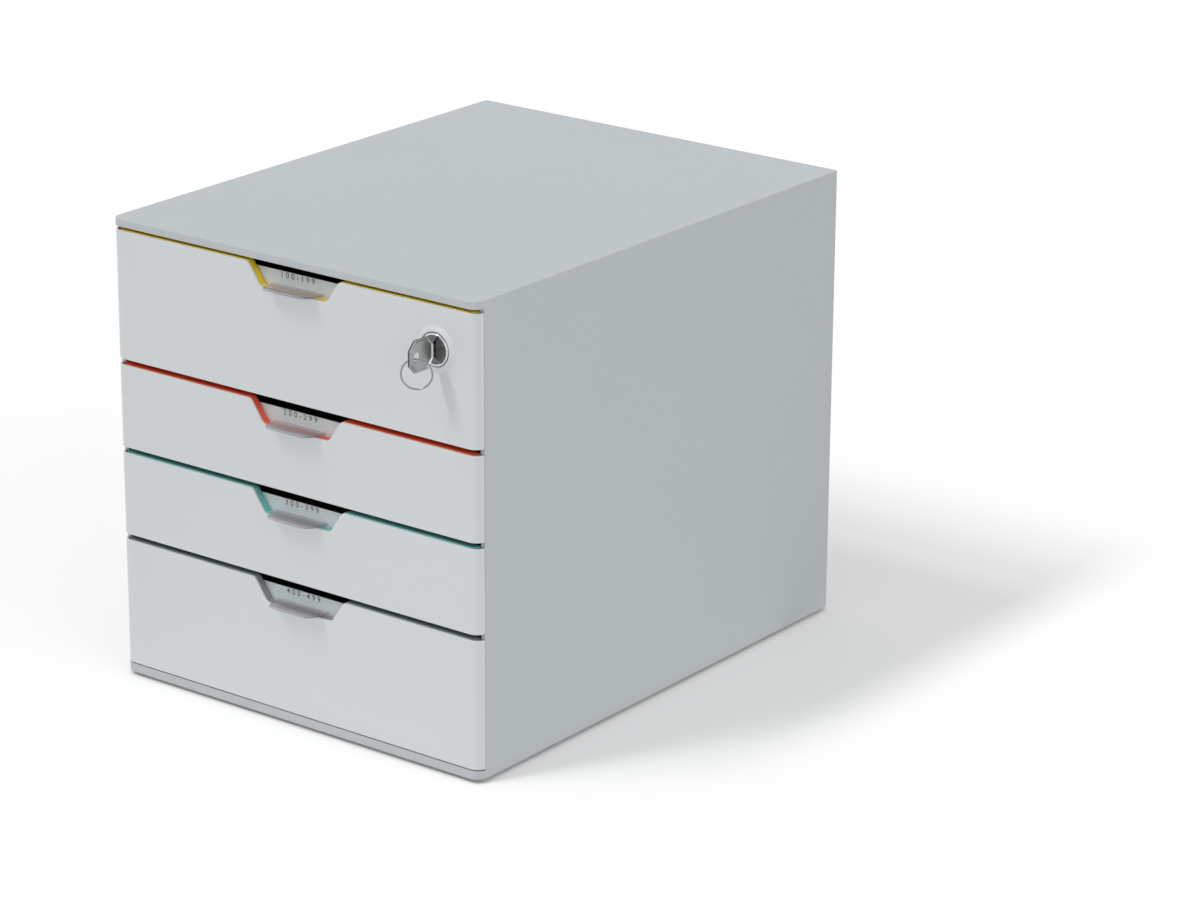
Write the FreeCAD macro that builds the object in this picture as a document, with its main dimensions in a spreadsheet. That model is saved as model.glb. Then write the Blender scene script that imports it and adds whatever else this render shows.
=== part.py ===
"""A desktop drawer box for office papers, as a parametric FreeCAD document.

Millimetres. X runs to the right, Y to the back and Z up. The box stands on Z = 0, and the
origin is below the centre of its overall length, key included. One sleeve carries two side
frames with grooves, four drawers run in them, and a cam lock closes the top one.
"""
import FreeCAD, Part
import Sketcher
import math
import os

Vector = FreeCAD.Vector

# ---------------------------------------------------------------------------------------
# Driving dimensions: name, value, what it measures.
# ---------------------------------------------------------------------------------------
SIZES = [
    # housing
    ("BoxWidth", 280.0, "width of the housing"),
    ("BoxDepth", 356.0, "depth of the housing, front faces included"),
    ("SideWall", 3.0, "side walls of the sleeve"),
    ("TopWall", 4.7, "top of the sleeve, seen as the upper strip"),
    ("FloorWall", 3.0, "floor of the sleeve"),
    ("BottomStrip", 5.7, "height of the lip below the lowest front"),
    ("LipThick", 3.0, "thickness of that lip"),
    ("CornerRadius", 7.0, "vertical front corners"),
    ("BackCornerRadius", 2.5, "vertical back corners"),
    ("EdgeRound", 0.6, "rounding of the sleeve's top edges"),
    ("FootBevel", 0.4, "bevel of the sleeve's bottom edges"),
    ("FootHeight", 2.2, "gap under the housing"),
    ("FootSeat", 1.0, "depth of the foot's seat in the floor"),
    ("FootRadius", 9.0, "rubber foot"),
    ("FootTaper", 1.0, "how much smaller the foot is where it stands"),
    ("FootInset", 24.0, "foot centre from the housing's sides"),
    ("BackThick", 2.5, "back panel"),
    ("BackRebate", 1.2, "overlap of the back panel in the sleeve's wall"),
    ("SpigotDepth", 6.0, "rim of the back panel that stands in the sleeve"),
    ("SpigotWall", 1.6, "thickness of that rim"),
    ("FitGap", 0.15, "gap round a piece that is seated in another"),
    # drawer stack
    ("Unit", 28.0, "height of one drawer unit"),
    ("UnitsFirst", 3.0, "units of the top drawer"),
    ("UnitsSecond", 2.0, "units of the second drawer"),
    ("UnitsThird", 2.0, "units of the third drawer"),
    ("UnitsFourth", 3.0, "units of the lowest drawer"),
    ("FrontGap", 3.3, "gap between two fronts"),
    ("TopGap", 2.0, "gap between the top strip and the first front"),
    ("BottomSeam", 0.7, "gap between the last front and the lip"),
    ("FrontThick", 7.0, "thickness of a whole front"),
    ("SkinThick", 1.3, "outer skin of a front"),
    ("FrameReveal", 0.4, "rim of the coloured frame that shows above the skin"),
    ("SkinReturn", 5.5, "how far the skin wraps back round the corner"),
    ("SeamGap", 0.35, "gap between the skin's return and the side wall"),
    ("FrameGap", 0.5, "gap between the coloured frame and the line of the side wall"),
    ("SkinBevel", 0.3, "bevel of the skin's outer edges"),
    ("FrameWall", 2.0, "walls of the coloured frame"),
    ("FramePlate", 1.5, "back plate of the coloured frame"),
    ("HookWidth", 8.0, "snap hooks that hold the tray's front wall"),
    ("HookThick", 2.0, "thickness of a hook's arm"),
    ("HookNib", 1.2, "nib of a hook"),
    ("HookNibLength", 2.4, "length of a nib behind the tray's wall"),
    ("HookSpacing", 160.0, "distance between the hooks, side to side"),
    ("HookDrop", 22.0, "upper hooks below the front's top"),
    ("HookRise", 14.0, "lower hooks above the front's bottom"),
    # grip notch and grip
    ("NotchOffset", 3.2, "centre of the notch from the middle of the front"),
    ("NotchTopWidth", 70.0, "width of the notch at the top"),
    ("NotchBottomWidth", 50.5, "width of the notch at its bottom"),
    ("NotchDepth", 14.3, "depth of the notch"),
    ("NotchTopRound", 4.0, "rounding at the top of the notch"),
    ("NotchBottomRound", 3.0, "rounding at the bottom of the notch"),
    ("WindowSetback", 5.0, "label window behind the front plane"),
    ("WindowDrop", 3.8, "top of the label window below the front's top"),
    ("HolderFlange", 3.0, "flange of the grip behind the notch walls"),
    ("HolderThick", 1.5, "thickness of that flange"),
    ("GripReach", 11.0, "how far the grip stands out of the front"),
    ("GripSlant", 4.1, "how much each side of the ledge runs in from root to front edge"),
    ("GripThick", 1.4, "thickness of the grip's ledge"),
    ("GripLift", 1.3, "gap between the ledge and the bottom of the notch"),
    ("GripRise", 1.2, "rise of the ledge from the notch to its front edge"),
    ("GripRim", 0.6, "raised rim on the ledge's front edge"),
    ("GripRimWidth", 1.8, "width of that rim"),
    ("GripRound", 5.0, "rounding of the ledge's front corners"),
    ("GripInset", 5.2, "how far the ledge's root stands in from the notch's bottom corners"),
    ("CardThick", 0.3, "label card"),
    ("CardOverlap", 1.5, "card edge behind the walls of the notch"),
    # trays and runners
    ("TrayWall", 2.0, "walls of a tray"),
    ("TrayFloor", 2.0, "floor of a tray"),
    ("TrayCorner", 6.0, "outer corners of a tray"),
    ("TrayBevel", 1.6, "bevel along the tray's inner floor edge"),
    ("TrayClear", 4.0, "gap between a tray and the back panel"),
    ("RimDrop", 6.0, "rim of a tray below the front's top"),
    ("TrayLift", 4.0, "tray bottom above the next unit line"),
    ("BackCut", 10.0, "depth of the cut-out in a tray's rear wall"),
    ("BackCutMargin", 45.0, "rear cut-out's end from the tray's side"),
    ("RunnerPlate", 1.5, "plate of a side frame"),
    ("RunnerSetback", 8.5, "front end of a side frame behind the front plane"),
    ("RibReach", 6.5, "how far the ribs stand out of the plate"),
    ("RibThick", 2.0, "thickness of a rib"),
    ("RibLead", 10.0, "lead-in at the front of the upper rib"),
    ("RailReach", 4.6, "how far a tray's rail stands out"),
    ("RailThick", 2.6, "thickness of a tray's rail"),
    ("RailGap", 0.35, "play of the rail in its groove, above and below"),
    ("RunnerGap", 0.7, "side play between a tray and the ribs"),
    ("StopLength", 3.0, "length of the stop in a groove"),
    ("StopReach", 2.0, "how far the stop stands out of the plate"),
    ("StopGap", 0.5, "gap between lug and stop at full travel"),
    ("LugLength", 12.0, "length of the lug on a rail"),
    ("LugReach", 2.0, "how far the lug stands out of the rail"),
    ("TrayTravel", 240.0, "full travel of a drawer"),
    # lock
    ("LockInset", 30.2, "lock axis from the housing's right side"),
    ("LockDrop", 25.8, "lock axis below the first front's top"),
    ("CollarRadius", 14.4, "raised collar round the lock"),
    ("CollarHeight", 1.6, "height of the collar"),
    ("CollarCrown", 1.2, "width of the flat crown of the collar"),
    ("CollarBevel", 0.5, "bevel at the collar's inner edge"),
    ("BezelRadius", 9.9, "bezel of the barrel"),
    ("BezelProud", 2.1, "how far the bezel stands out of the front plane"),
    ("BezelChamfer", 0.6, "chamfer of the bezel"),
    ("DiscRadius", 8.4, "face disc of the plug"),
    ("DiscThick", 1.2, "thickness of the disc"),
    ("BarrelRadius", 8.2, "threaded body of the barrel"),
    ("BarrelLength", 20.0, "length of the barrel behind the front plane"),
    ("BarrelFlat", 7.2, "flats of the barrel from its axis"),
    ("PlugRadius", 6.0, "body of the plug"),
    ("PlugGap", 0.06, "running gap round the plug"),
    ("StubSide", 6.0, "square stub that drives the cam"),
    ("NutAcross", 22.0, "lock nut across its flats"),
    ("NutThick", 4.0, "lock nut"),
    ("ThreadGap", 0.05, "gap that stands for a thread"),
    ("CamReach", 26.5, "tip of the cam from the lock axis"),
    ("CamWidth", 12.0, "width of the cam"),
    ("CamThick", 2.0, "thickness of the cam"),
    ("CamGap", 0.6, "gap between barrel and cam"),
    ("ScrewRadius", 1.5, "shank of the cam screw"),
    ("ScrewHead", 4.4, "radius of its head, wider than the stub"),
    ("ScrewHeadThick", 1.8, "thickness of its head"),
    ("ScrewLength", 4.0, "length of its shank"),
    ("ScrewSlot", 0.9, "slot in its head"),
    ("StrikeThick", 3.0, "strike below the housing's top"),
    ("StrikeWidth", 30.0, "width of the strike"),
    ("StrikeDrop", 6.4, "how far the strike hangs down"),
    ("StrikeGap", 0.5, "gap between strike and cam"),
    # key and ring
    ("KeyThick", 1.7, "thickness of the key"),
    ("BowLength", 20.9, "length of the key's bow"),
    ("BowHeight", 19.0, "height of the bow"),
    ("BowChamfer", 5.0, "cut corners of the bow"),
    ("BowGap", 1.0, "gap between the bezel and the bow"),
    ("BowHoleRadius", 2.6, "hole in the bow"),
    ("BowHoleInset", 6.7, "hole centre from the bow's front edge"),
    ("BowHoleDrop", 0.3, "hole centre below the lock axis"),
    ("BladeHeight", 7.2, "height of the key's blade"),
    ("KeywayWall", 0.9, "metal between the keyway and the screw hole"),
    ("CutDepth", 1.0, "depth of the cuts in the blade"),
    ("CutPitch", 3.0, "distance between the cuts"),
    ("KeyGap", 0.35, "gap between blade and keyway"),
    ("RingRadius", 8.9, "key ring, to the middle of its wire"),
    ("WireRadius", 0.5, "wire of the ring"),
    ("RingTurn", 33.0, "angle in degrees by which the ring is turned to the right"),
    ("RingHang", 1.3, "wire centre below the centre of the hole"),
    # drawing aids
    ("CutOver", 2.0, "how far a cutting outline runs past the material that it cuts"),
]

KEY_CUTS = 4
WIRE_SIDES = 8
LEVEL_MATCH = 1e-4
# The collar's flank is arched: half-way out it still has this share of the collar's height.
FLANK_SHARE = 2 / 3

doc = FreeCAD.newDocument("drawer_box")
sheet = doc.addObject("Spreadsheet::Sheet", "Sizes")
for row, (alias, value, meaning) in enumerate(SIZES, start=1):
    sheet.set(f"A{row}", meaning)
    sheet.set(f"B{row}", str(value))
    sheet.setAlias(f"B{row}", alias)
doc.recompute()

# ---------------------------------------------------------------------------------------
# Shared places, written as expressions of the sheet.
# ---------------------------------------------------------------------------------------
KEY_REACH = "(Sizes.BezelProud + Sizes.BowGap + Sizes.BowLength)"
FRONT_PLANE = f"-(Sizes.BoxDepth - {KEY_REACH}) / 2"
SIDE = "(Sizes.BoxWidth / 2)"
INNER_SIDE = "(Sizes.BoxWidth / 2 - Sizes.SideWall)"
FLOOR_TOP = "(Sizes.FootHeight + Sizes.FloorWall)"
LIP_TOP = "(Sizes.FootHeight + Sizes.BottomStrip)"
STACK_FOOT = f"({LIP_TOP} + Sizes.BottomSeam - Sizes.FrontGap)"
UNITS = ["Sizes.UnitsFirst", "Sizes.UnitsSecond", "Sizes.UnitsThird", "Sizes.UnitsFourth"]
FRONT_TOPS = [f"({STACK_FOOT} + Sizes.Unit * ({' + '.join(UNITS[index:])}))" for index in range(4)]
CEILING = f"({FRONT_TOPS[0]} + Sizes.TopGap)"
BOX_TOP = f"({CEILING} + Sizes.TopWall)"
BACK_INSIDE = "(Sizes.BoxDepth - Sizes.BackThick)"

RIB_EDGE = f"({INNER_SIDE} - Sizes.RunnerPlate - Sizes.RibReach)"
TRAY_SIDE = f"({RIB_EDGE} - Sizes.RunnerGap)"
RAIL_EDGE = f"({TRAY_SIDE} + Sizes.RailReach)"
TRAY_BACK = f"({BACK_INSIDE} - Sizes.TrayClear)"
TRAY_FRONT_INSIDE = "(Sizes.FrontThick + Sizes.TrayWall)"
LUG_FRONT = "(Sizes.RunnerSetback + Sizes.StopLength + Sizes.StopGap + Sizes.TrayTravel)"

LOCK_X = "(Sizes.BoxWidth / 2 - Sizes.LockInset)"
LOCK_Z = f"({FRONT_TOPS[0]} - Sizes.LockDrop)"
CAM_FRONT = "(Sizes.BarrelLength + Sizes.CamGap)"
CAM_BACK = f"({CAM_FRONT} + Sizes.CamThick)"
SCREW_TIP = f"({CAM_BACK} - Sizes.ScrewLength)"
KEYWAY_END = f"({SCREW_TIP} - Sizes.ThreadGap - Sizes.KeywayWall)"
BLADE_TIP = f"({KEYWAY_END} - 2 * Sizes.KeyGap)"

NOTCH_SLOPE = "((Sizes.NotchTopWidth - Sizes.NotchBottomWidth) / 2 / Sizes.NotchDepth)"


def number(expression):
    """The present value of an expression."""
    return float(sheet.evalExpression(str(expression)))


# ---------------------------------------------------------------------------------------
# Sketching and modelling helpers.
# ---------------------------------------------------------------------------------------
def new_body(label, x="0", y=FRONT_PLANE, z="0"):
    """A body whose own origin sits at the given place of the box."""
    body = doc.addObject("PartDesign::Body", label)
    body.Label = label
    body.setExpression("Placement.Base.x", x)
    body.setExpression("Placement.Base.y", y)
    body.setExpression("Placement.Base.z", z)
    return body


def new_sketch(body, name, role, offset="0"):
    """A sketch on one of the body's origin planes, moved along the plane's normal."""
    plane = next(item for item in body.Origin.OriginFeatures if item.Role == role)
    sketch = body.newObject("Sketcher::SketchObject", name)
    sketch.AttachmentSupport = (plane, [""])
    sketch.MapMode = "FlatFace"
    sketch.setExpression("AttachmentOffset.Base.z", offset)
    return sketch


def sized(kind, *arguments):
    """A constraint with a size; the last argument is the expression that drives it."""
    expression = str(arguments[-1])
    return Sketcher.Constraint(kind, *arguments[:-1], number(expression)), expression


def pinned(geometry, point, x, y):
    """Constraints that hold one point of a sketch at the expressions x and y."""
    return [
        sized("DistanceX", -1, 1, geometry, point, x),
        sized("DistanceY", -1, 1, geometry, point, y),
    ]


def joined(kind, *arguments):
    """A constraint without a size."""
    return Sketcher.Constraint(kind, *arguments), None


def constrain(sketch, rules):
    """Add all constraints at once, then bind each sized one to its expression."""
    first = sketch.ConstraintCount
    sketch.addConstraint([constraint for constraint, _expression in rules])
    for index, (_constraint, expression) in enumerate(rules, start=first):
        if expression is not None:
            sketch.setExpression(f"Constraints[{index}]", expression)


def rounding(before, corner, after, radius):
    """Start, middle and end of the arc that rounds a corner."""
    to_before = (before - corner).normalize()
    to_after = (after - corner).normalize()
    half_angle = to_before.getAngle(to_after) / 2
    cut = radius / math.tan(half_angle)
    bisector = (to_before + to_after).normalize()
    centre = corner + bisector * (radius / math.sin(half_angle))
    return corner + to_before * cut, centre - bisector * radius, corner + to_after * cut


def outline(sketch, corners):
    """Close a contour through the corners: each is (x, y) or (x, y, rounding radius)."""
    points = [Vector(number(corner[0]), number(corner[1]), 0) for corner in corners]
    count = len(points)
    arcs = {}
    for index, corner in enumerate(corners):
        if len(corner) == 3:
            following = points[(index + 1) % count]
            arcs[index] = rounding(points[index - 1], points[index], following, number(corner[2]))
    lines = []
    for index in range(count):
        following = (index + 1) % count
        start = arcs[index][2] if index in arcs else points[index]
        end = arcs[following][0] if following in arcs else points[following]
        lines.append(sketch.addGeometry(Part.LineSegment(start, end), False))
    rules = []
    for index, corner in enumerate(corners):
        arriving, leaving = lines[index - 1], lines[index]
        if index not in arcs:
            rules.append(joined("Coincident", arriving, 2, leaving, 1))
            rules += pinned(leaving, 1, corner[0], corner[1])
            continue
        start, middle, end = arcs[index]
        leftward = (middle - start).cross(end - middle).z > 0
        curve = Part.Arc(start, middle, end) if leftward else Part.Arc(end, middle, start)
        arc = sketch.addGeometry(curve, False)
        first, last = (1, 2) if leftward else (2, 1)
        point = sketch.addGeometry(Part.Point(points[index]), True)
        rules += [
            joined("Tangent", arriving, 2, arc, first),
            joined("Tangent", leaving, 1, arc, last),
            joined("PointOnObject", point, 1, arriving),
            joined("PointOnObject", point, 1, leaving),
            sized("Radius", arc, corner[2]),
            *pinned(point, 1, corner[0], corner[1]),
        ]
    constrain(sketch, rules)


def rectangle(sketch, left, right, low, high):
    """A plain rectangle between four expressions."""
    outline(sketch, [(left, low), (right, low), (right, high), (left, high)])


def circle(sketch, x, y, radius):
    """A circle bound to its centre and radius."""
    centre = Vector(number(x), number(y), 0)
    shape = Part.Circle(centre, Vector(0, 0, 1), number(radius))
    index = sketch.addGeometry(shape, False)
    constrain(sketch, [*pinned(index, 3, x, y), sized("Radius", index, radius)])


def pad(body, sketch, length, reverse=False, middle=False):
    """Raise a sketch; on the XZ plane a plain pad runs to the front."""
    feature = body.newObject("PartDesign::Pad", sketch.Name + "_pad")
    feature.Profile = sketch
    feature.Reversed = reverse
    feature.Midplane = middle
    feature.setExpression("Length", length)
    sketch.Visibility = False
    return feature


def pocket(body, sketch, length=None, reverse=False, middle=False):
    """Cut a sketch to a length, or right through where no length is given."""
    feature = body.newObject("PartDesign::Pocket", sketch.Name + "_pocket")
    feature.Profile = sketch
    feature.Reversed = reverse
    feature.Midplane = middle
    if length is None:
        feature.Type = "ThroughAll"
    else:
        feature.setExpression("Length", length)
    return feature


def revolve(body, sketch, axis_x):
    """Turn a profile once round a line parallel to Y, at the given X of an XY sketch."""
    line = Part.LineSegment(
        Vector(number(axis_x), 0, 0),
        Vector(number(axis_x), number("Sizes.CutOver"), 0),
    )
    index = sketch.addGeometry(line, True)
    rules = [*pinned(index, 1, axis_x, "0"), *pinned(index, 2, axis_x, "Sizes.CutOver")]
    constrain(sketch, rules)
    feature = body.newObject("PartDesign::Revolution", sketch.Name + "_turn")
    feature.Profile = sketch
    feature.ReferenceAxis = (sketch, ["Axis0"])
    feature.Angle = 360.0
    return feature


def edges_of(base, wanted):
    """Names of the edges of a feature that the test picks."""
    doc.recompute()
    return [f"Edge{index}" for index, edge in enumerate(base.Shape.Edges, start=1) if wanted(edge)]


def round_edges(body, base, radius, wanted, name):
    """Fillet every edge of the base feature that the test picks."""
    feature = body.newObject("PartDesign::Fillet", name)
    feature.Base = (base, edges_of(base, wanted))
    feature.setExpression("Radius", radius)
    return feature


def bevel_edges(body, base, size, wanted, name):
    """Chamfer every edge of the base feature that the test picks."""
    feature = body.newObject("PartDesign::Chamfer", name)
    feature.Base = (base, edges_of(base, wanted))
    feature.setExpression("Size", size)
    return feature


def flat_at(edge, axis, level):
    """True for an edge that lies whole in the plane where the axis has that level."""
    box = edge.BoundBox
    low = getattr(box, axis + "Min")
    high = getattr(box, axis + "Max")
    return abs(low - level) < LEVEL_MATCH and abs(high - level) < LEVEL_MATCH


def notch_outline(margin, top):
    """The notch's trapezoid, widened by a margin on its walls and bottom, open at a top level.

    The walls lean outwards, so the margin counts square to them.
    """
    slant = f"sqrt(1 + {NOTCH_SLOPE} * {NOTCH_SLOPE})"
    bottom = f"(-Sizes.NotchDepth - ({margin}))"
    half = f"(Sizes.NotchTopWidth / 2 + ({margin}) * {slant} + {NOTCH_SLOPE} * "
    top_half = half + f"({top}))"
    bottom_half = half + f"{bottom})"
    return [
        (f"Sizes.NotchOffset - {top_half}", top),
        (f"Sizes.NotchOffset - {bottom_half}", bottom),
        (f"Sizes.NotchOffset + {bottom_half}", bottom),
        (f"Sizes.NotchOffset + {top_half}", top),
    ]


def front_height(units):
    """Height of a front of so many units."""
    return f"(Sizes.Unit * {units} - Sizes.FrontGap)"


# ---------------------------------------------------------------------------------------
# Housing.
# ---------------------------------------------------------------------------------------
def make_housing_shell():
    """The seamless sleeve, with its upper and lower strip in front of the side walls."""
    body = new_body("housing_shell")
    sleeve = new_sketch(body, "sleeve", "XZ_Plane")
    rectangle(sleeve, f"-{SIDE}", SIDE, "Sizes.FootHeight", BOX_TOP)
    rectangle(sleeve, f"-{INNER_SIDE}", INNER_SIDE, FLOOR_TOP, CEILING)
    pad(body, sleeve, "Sizes.BoxDepth", reverse=True)

    lip = new_sketch(body, "lip", "XZ_Plane")
    rectangle(lip, f"-{SIDE}", SIDE, "Sizes.FootHeight", LIP_TOP)
    pad(body, lip, "Sizes.LipThick", reverse=True)

    setback = new_sketch(body, "wall_setback", "YZ_Plane")
    rectangle(setback, "-Sizes.CutOver", "Sizes.SkinReturn + Sizes.SeamGap", LIP_TOP, CEILING)
    pocket(body, setback, middle=True)

    plan = new_sketch(body, "plan_trim", "XY_Plane")
    over = "Sizes.CutOver"
    rectangle(plan, f"-{SIDE} - {over}", f"{SIDE} + {over}", f"-{over}", f"Sizes.BoxDepth + {over}")
    outline(plan, [
        (f"-{SIDE}", "0", "Sizes.CornerRadius"),
        (SIDE, "0", "Sizes.CornerRadius"),
        (SIDE, "Sizes.BoxDepth", "Sizes.BackCornerRadius"),
        (f"-{SIDE}", "Sizes.BoxDepth", "Sizes.BackCornerRadius"),
    ])
    trimmed = pocket(body, plan, reverse=True)

    top = number(BOX_TOP)
    rounded = round_edges(body, trimmed, "Sizes.EdgeRound", lambda edge: flat_at(edge, "Z", top), "top_round")
    foot = number("Sizes.FootHeight")
    bevel_edges(body, rounded, "Sizes.FootBevel", lambda edge: flat_at(edge, "Z", foot), "foot_bevel")

    rebate = new_sketch(body, "back_rebate", "XZ_Plane", "-Sizes.BoxDepth")
    rectangle(
        rebate,
        f"-{INNER_SIDE} - Sizes.BackRebate",
        f"{INNER_SIDE} + Sizes.BackRebate",
        f"{FLOOR_TOP} - Sizes.BackRebate",
        f"{CEILING} + Sizes.BackRebate",
    )
    pocket(body, rebate, "Sizes.BackThick", reverse=True)

    seats = new_sketch(body, "foot_seats", "XY_Plane", "Sizes.FootHeight")
    for x, y in foot_places():
        circle(seats, x, y, "Sizes.FootRadius + Sizes.FitGap")
    pocket(body, seats, "Sizes.FootSeat", reverse=True)
    return body


def foot_places():
    """Centres of the four feet in the housing's plan."""
    across = f"({SIDE} - Sizes.FootInset)"
    back = "(Sizes.BoxDepth - Sizes.FootInset)"
    front = "Sizes.FootInset"
    return [(f"-{across}", front), (across, front), (f"-{across}", back), (across, back)]


def make_rubber_feet():
    """Four short cones seated in the housing's floor, as one node of four solids."""
    cones = []
    for index, (x, y) in enumerate(foot_places(), start=1):
        cone = doc.addObject("Part::Cone", f"foot_{index}")
        cone.setExpression("Radius1", "Sizes.FootRadius - Sizes.FootTaper")
        cone.setExpression("Radius2", "Sizes.FootRadius")
        cone.setExpression("Height", "Sizes.FootHeight + Sizes.FootSeat")
        cone.setExpression("Placement.Base.x", x)
        cone.setExpression("Placement.Base.y", f"{FRONT_PLANE} + {y}")
        cones.append(cone)
    feet = doc.addObject("Part::Compound", "rubber_feet")
    feet.Label = "rubber_feet"
    feet.Links = cones
    return feet


def make_back_panel():
    """The back, let into the sleeve's end, with a rim that stands inside it."""
    body = new_body("back_panel")
    plate = new_sketch(body, "plate", "XZ_Plane", "-Sizes.BoxDepth")
    reach = "Sizes.BackRebate - Sizes.FitGap"
    rectangle(
        plate,
        f"-{INNER_SIDE} - ({reach})",
        f"{INNER_SIDE} + {reach}",
        f"{FLOOR_TOP} - ({reach})",
        f"{CEILING} + {reach}",
    )
    pad(body, plate, "Sizes.BackThick")
    rim = new_sketch(body, "rim", "XZ_Plane", f"-{BACK_INSIDE}")
    for inset in ("Sizes.FitGap", "(Sizes.FitGap + Sizes.SpigotWall)"):
        rectangle(
            rim,
            f"-{INNER_SIDE} + {inset}",
            f"{INNER_SIDE} - {inset}",
            f"{FLOOR_TOP} + {inset}",
            f"{CEILING} - {inset}",
        )
    pad(body, rim, "Sizes.SpigotDepth")
    return body


def make_runner(label, side):
    """A moulded side frame: a plate with one groove for each drawer and a stop in each groove."""
    body = new_body(label)
    right = side > 0
    wall = f"{side} * {INNER_SIDE}"
    front = "Sizes.RunnerSetback"
    back = f"({BACK_INSIDE} - Sizes.SpigotDepth - Sizes.FitGap)"
    plate = new_sketch(body, "plate", "YZ_Plane", wall)
    rectangle(plate, front, back, FLOOR_TOP, CEILING)
    pad(body, plate, "Sizes.RunnerPlate", reverse=right)

    ribs = new_sketch(body, "ribs", "YZ_Plane", wall)
    stops = new_sketch(body, "stops", "YZ_Plane", wall)
    for top in FRONT_TOPS:
        roof = f"({top} - Sizes.RimDrop + Sizes.RailGap)"
        bed = f"({top} - Sizes.RimDrop - Sizes.RailThick - Sizes.RailGap)"
        outline(ribs, [
            (f"{front} + Sizes.RibLead", roof),
            (back, roof),
            (back, f"{roof} + Sizes.RibThick"),
            (front, f"{roof} + Sizes.RibThick"),
            (front, f"{roof} + Sizes.RibThick / 2"),
        ])
        rectangle(ribs, front, back, f"{bed} - Sizes.RibThick", bed)
        rectangle(stops, front, f"{front} + Sizes.StopLength", bed, f"{roof} + Sizes.RibThick / 2")
    pad(body, ribs, "Sizes.RunnerPlate + Sizes.RibReach", reverse=right)
    pad(body, stops, "Sizes.RunnerPlate + Sizes.StopReach", reverse=right)
    return body


def make_lock_strike():
    """The rib under the housing's top that the turned cam stands behind."""
    body = new_body("lock_strike", x=LOCK_X, z=CEILING)
    bar = new_sketch(body, "bar", "XZ_Plane", f"-({CAM_FRONT} - Sizes.StrikeGap)")
    half = "Sizes.StrikeWidth / 2"
    outline(bar, [
        (f"-{half}", "0"),
        (f"-{half}", "-Sizes.StrikeDrop", "Sizes.StrikeThick / 2"),
        (half, "-Sizes.StrikeDrop", "Sizes.StrikeThick / 2"),
        (half, "0"),
    ])
    pad(body, bar, "Sizes.StrikeThick")
    return body


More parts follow.
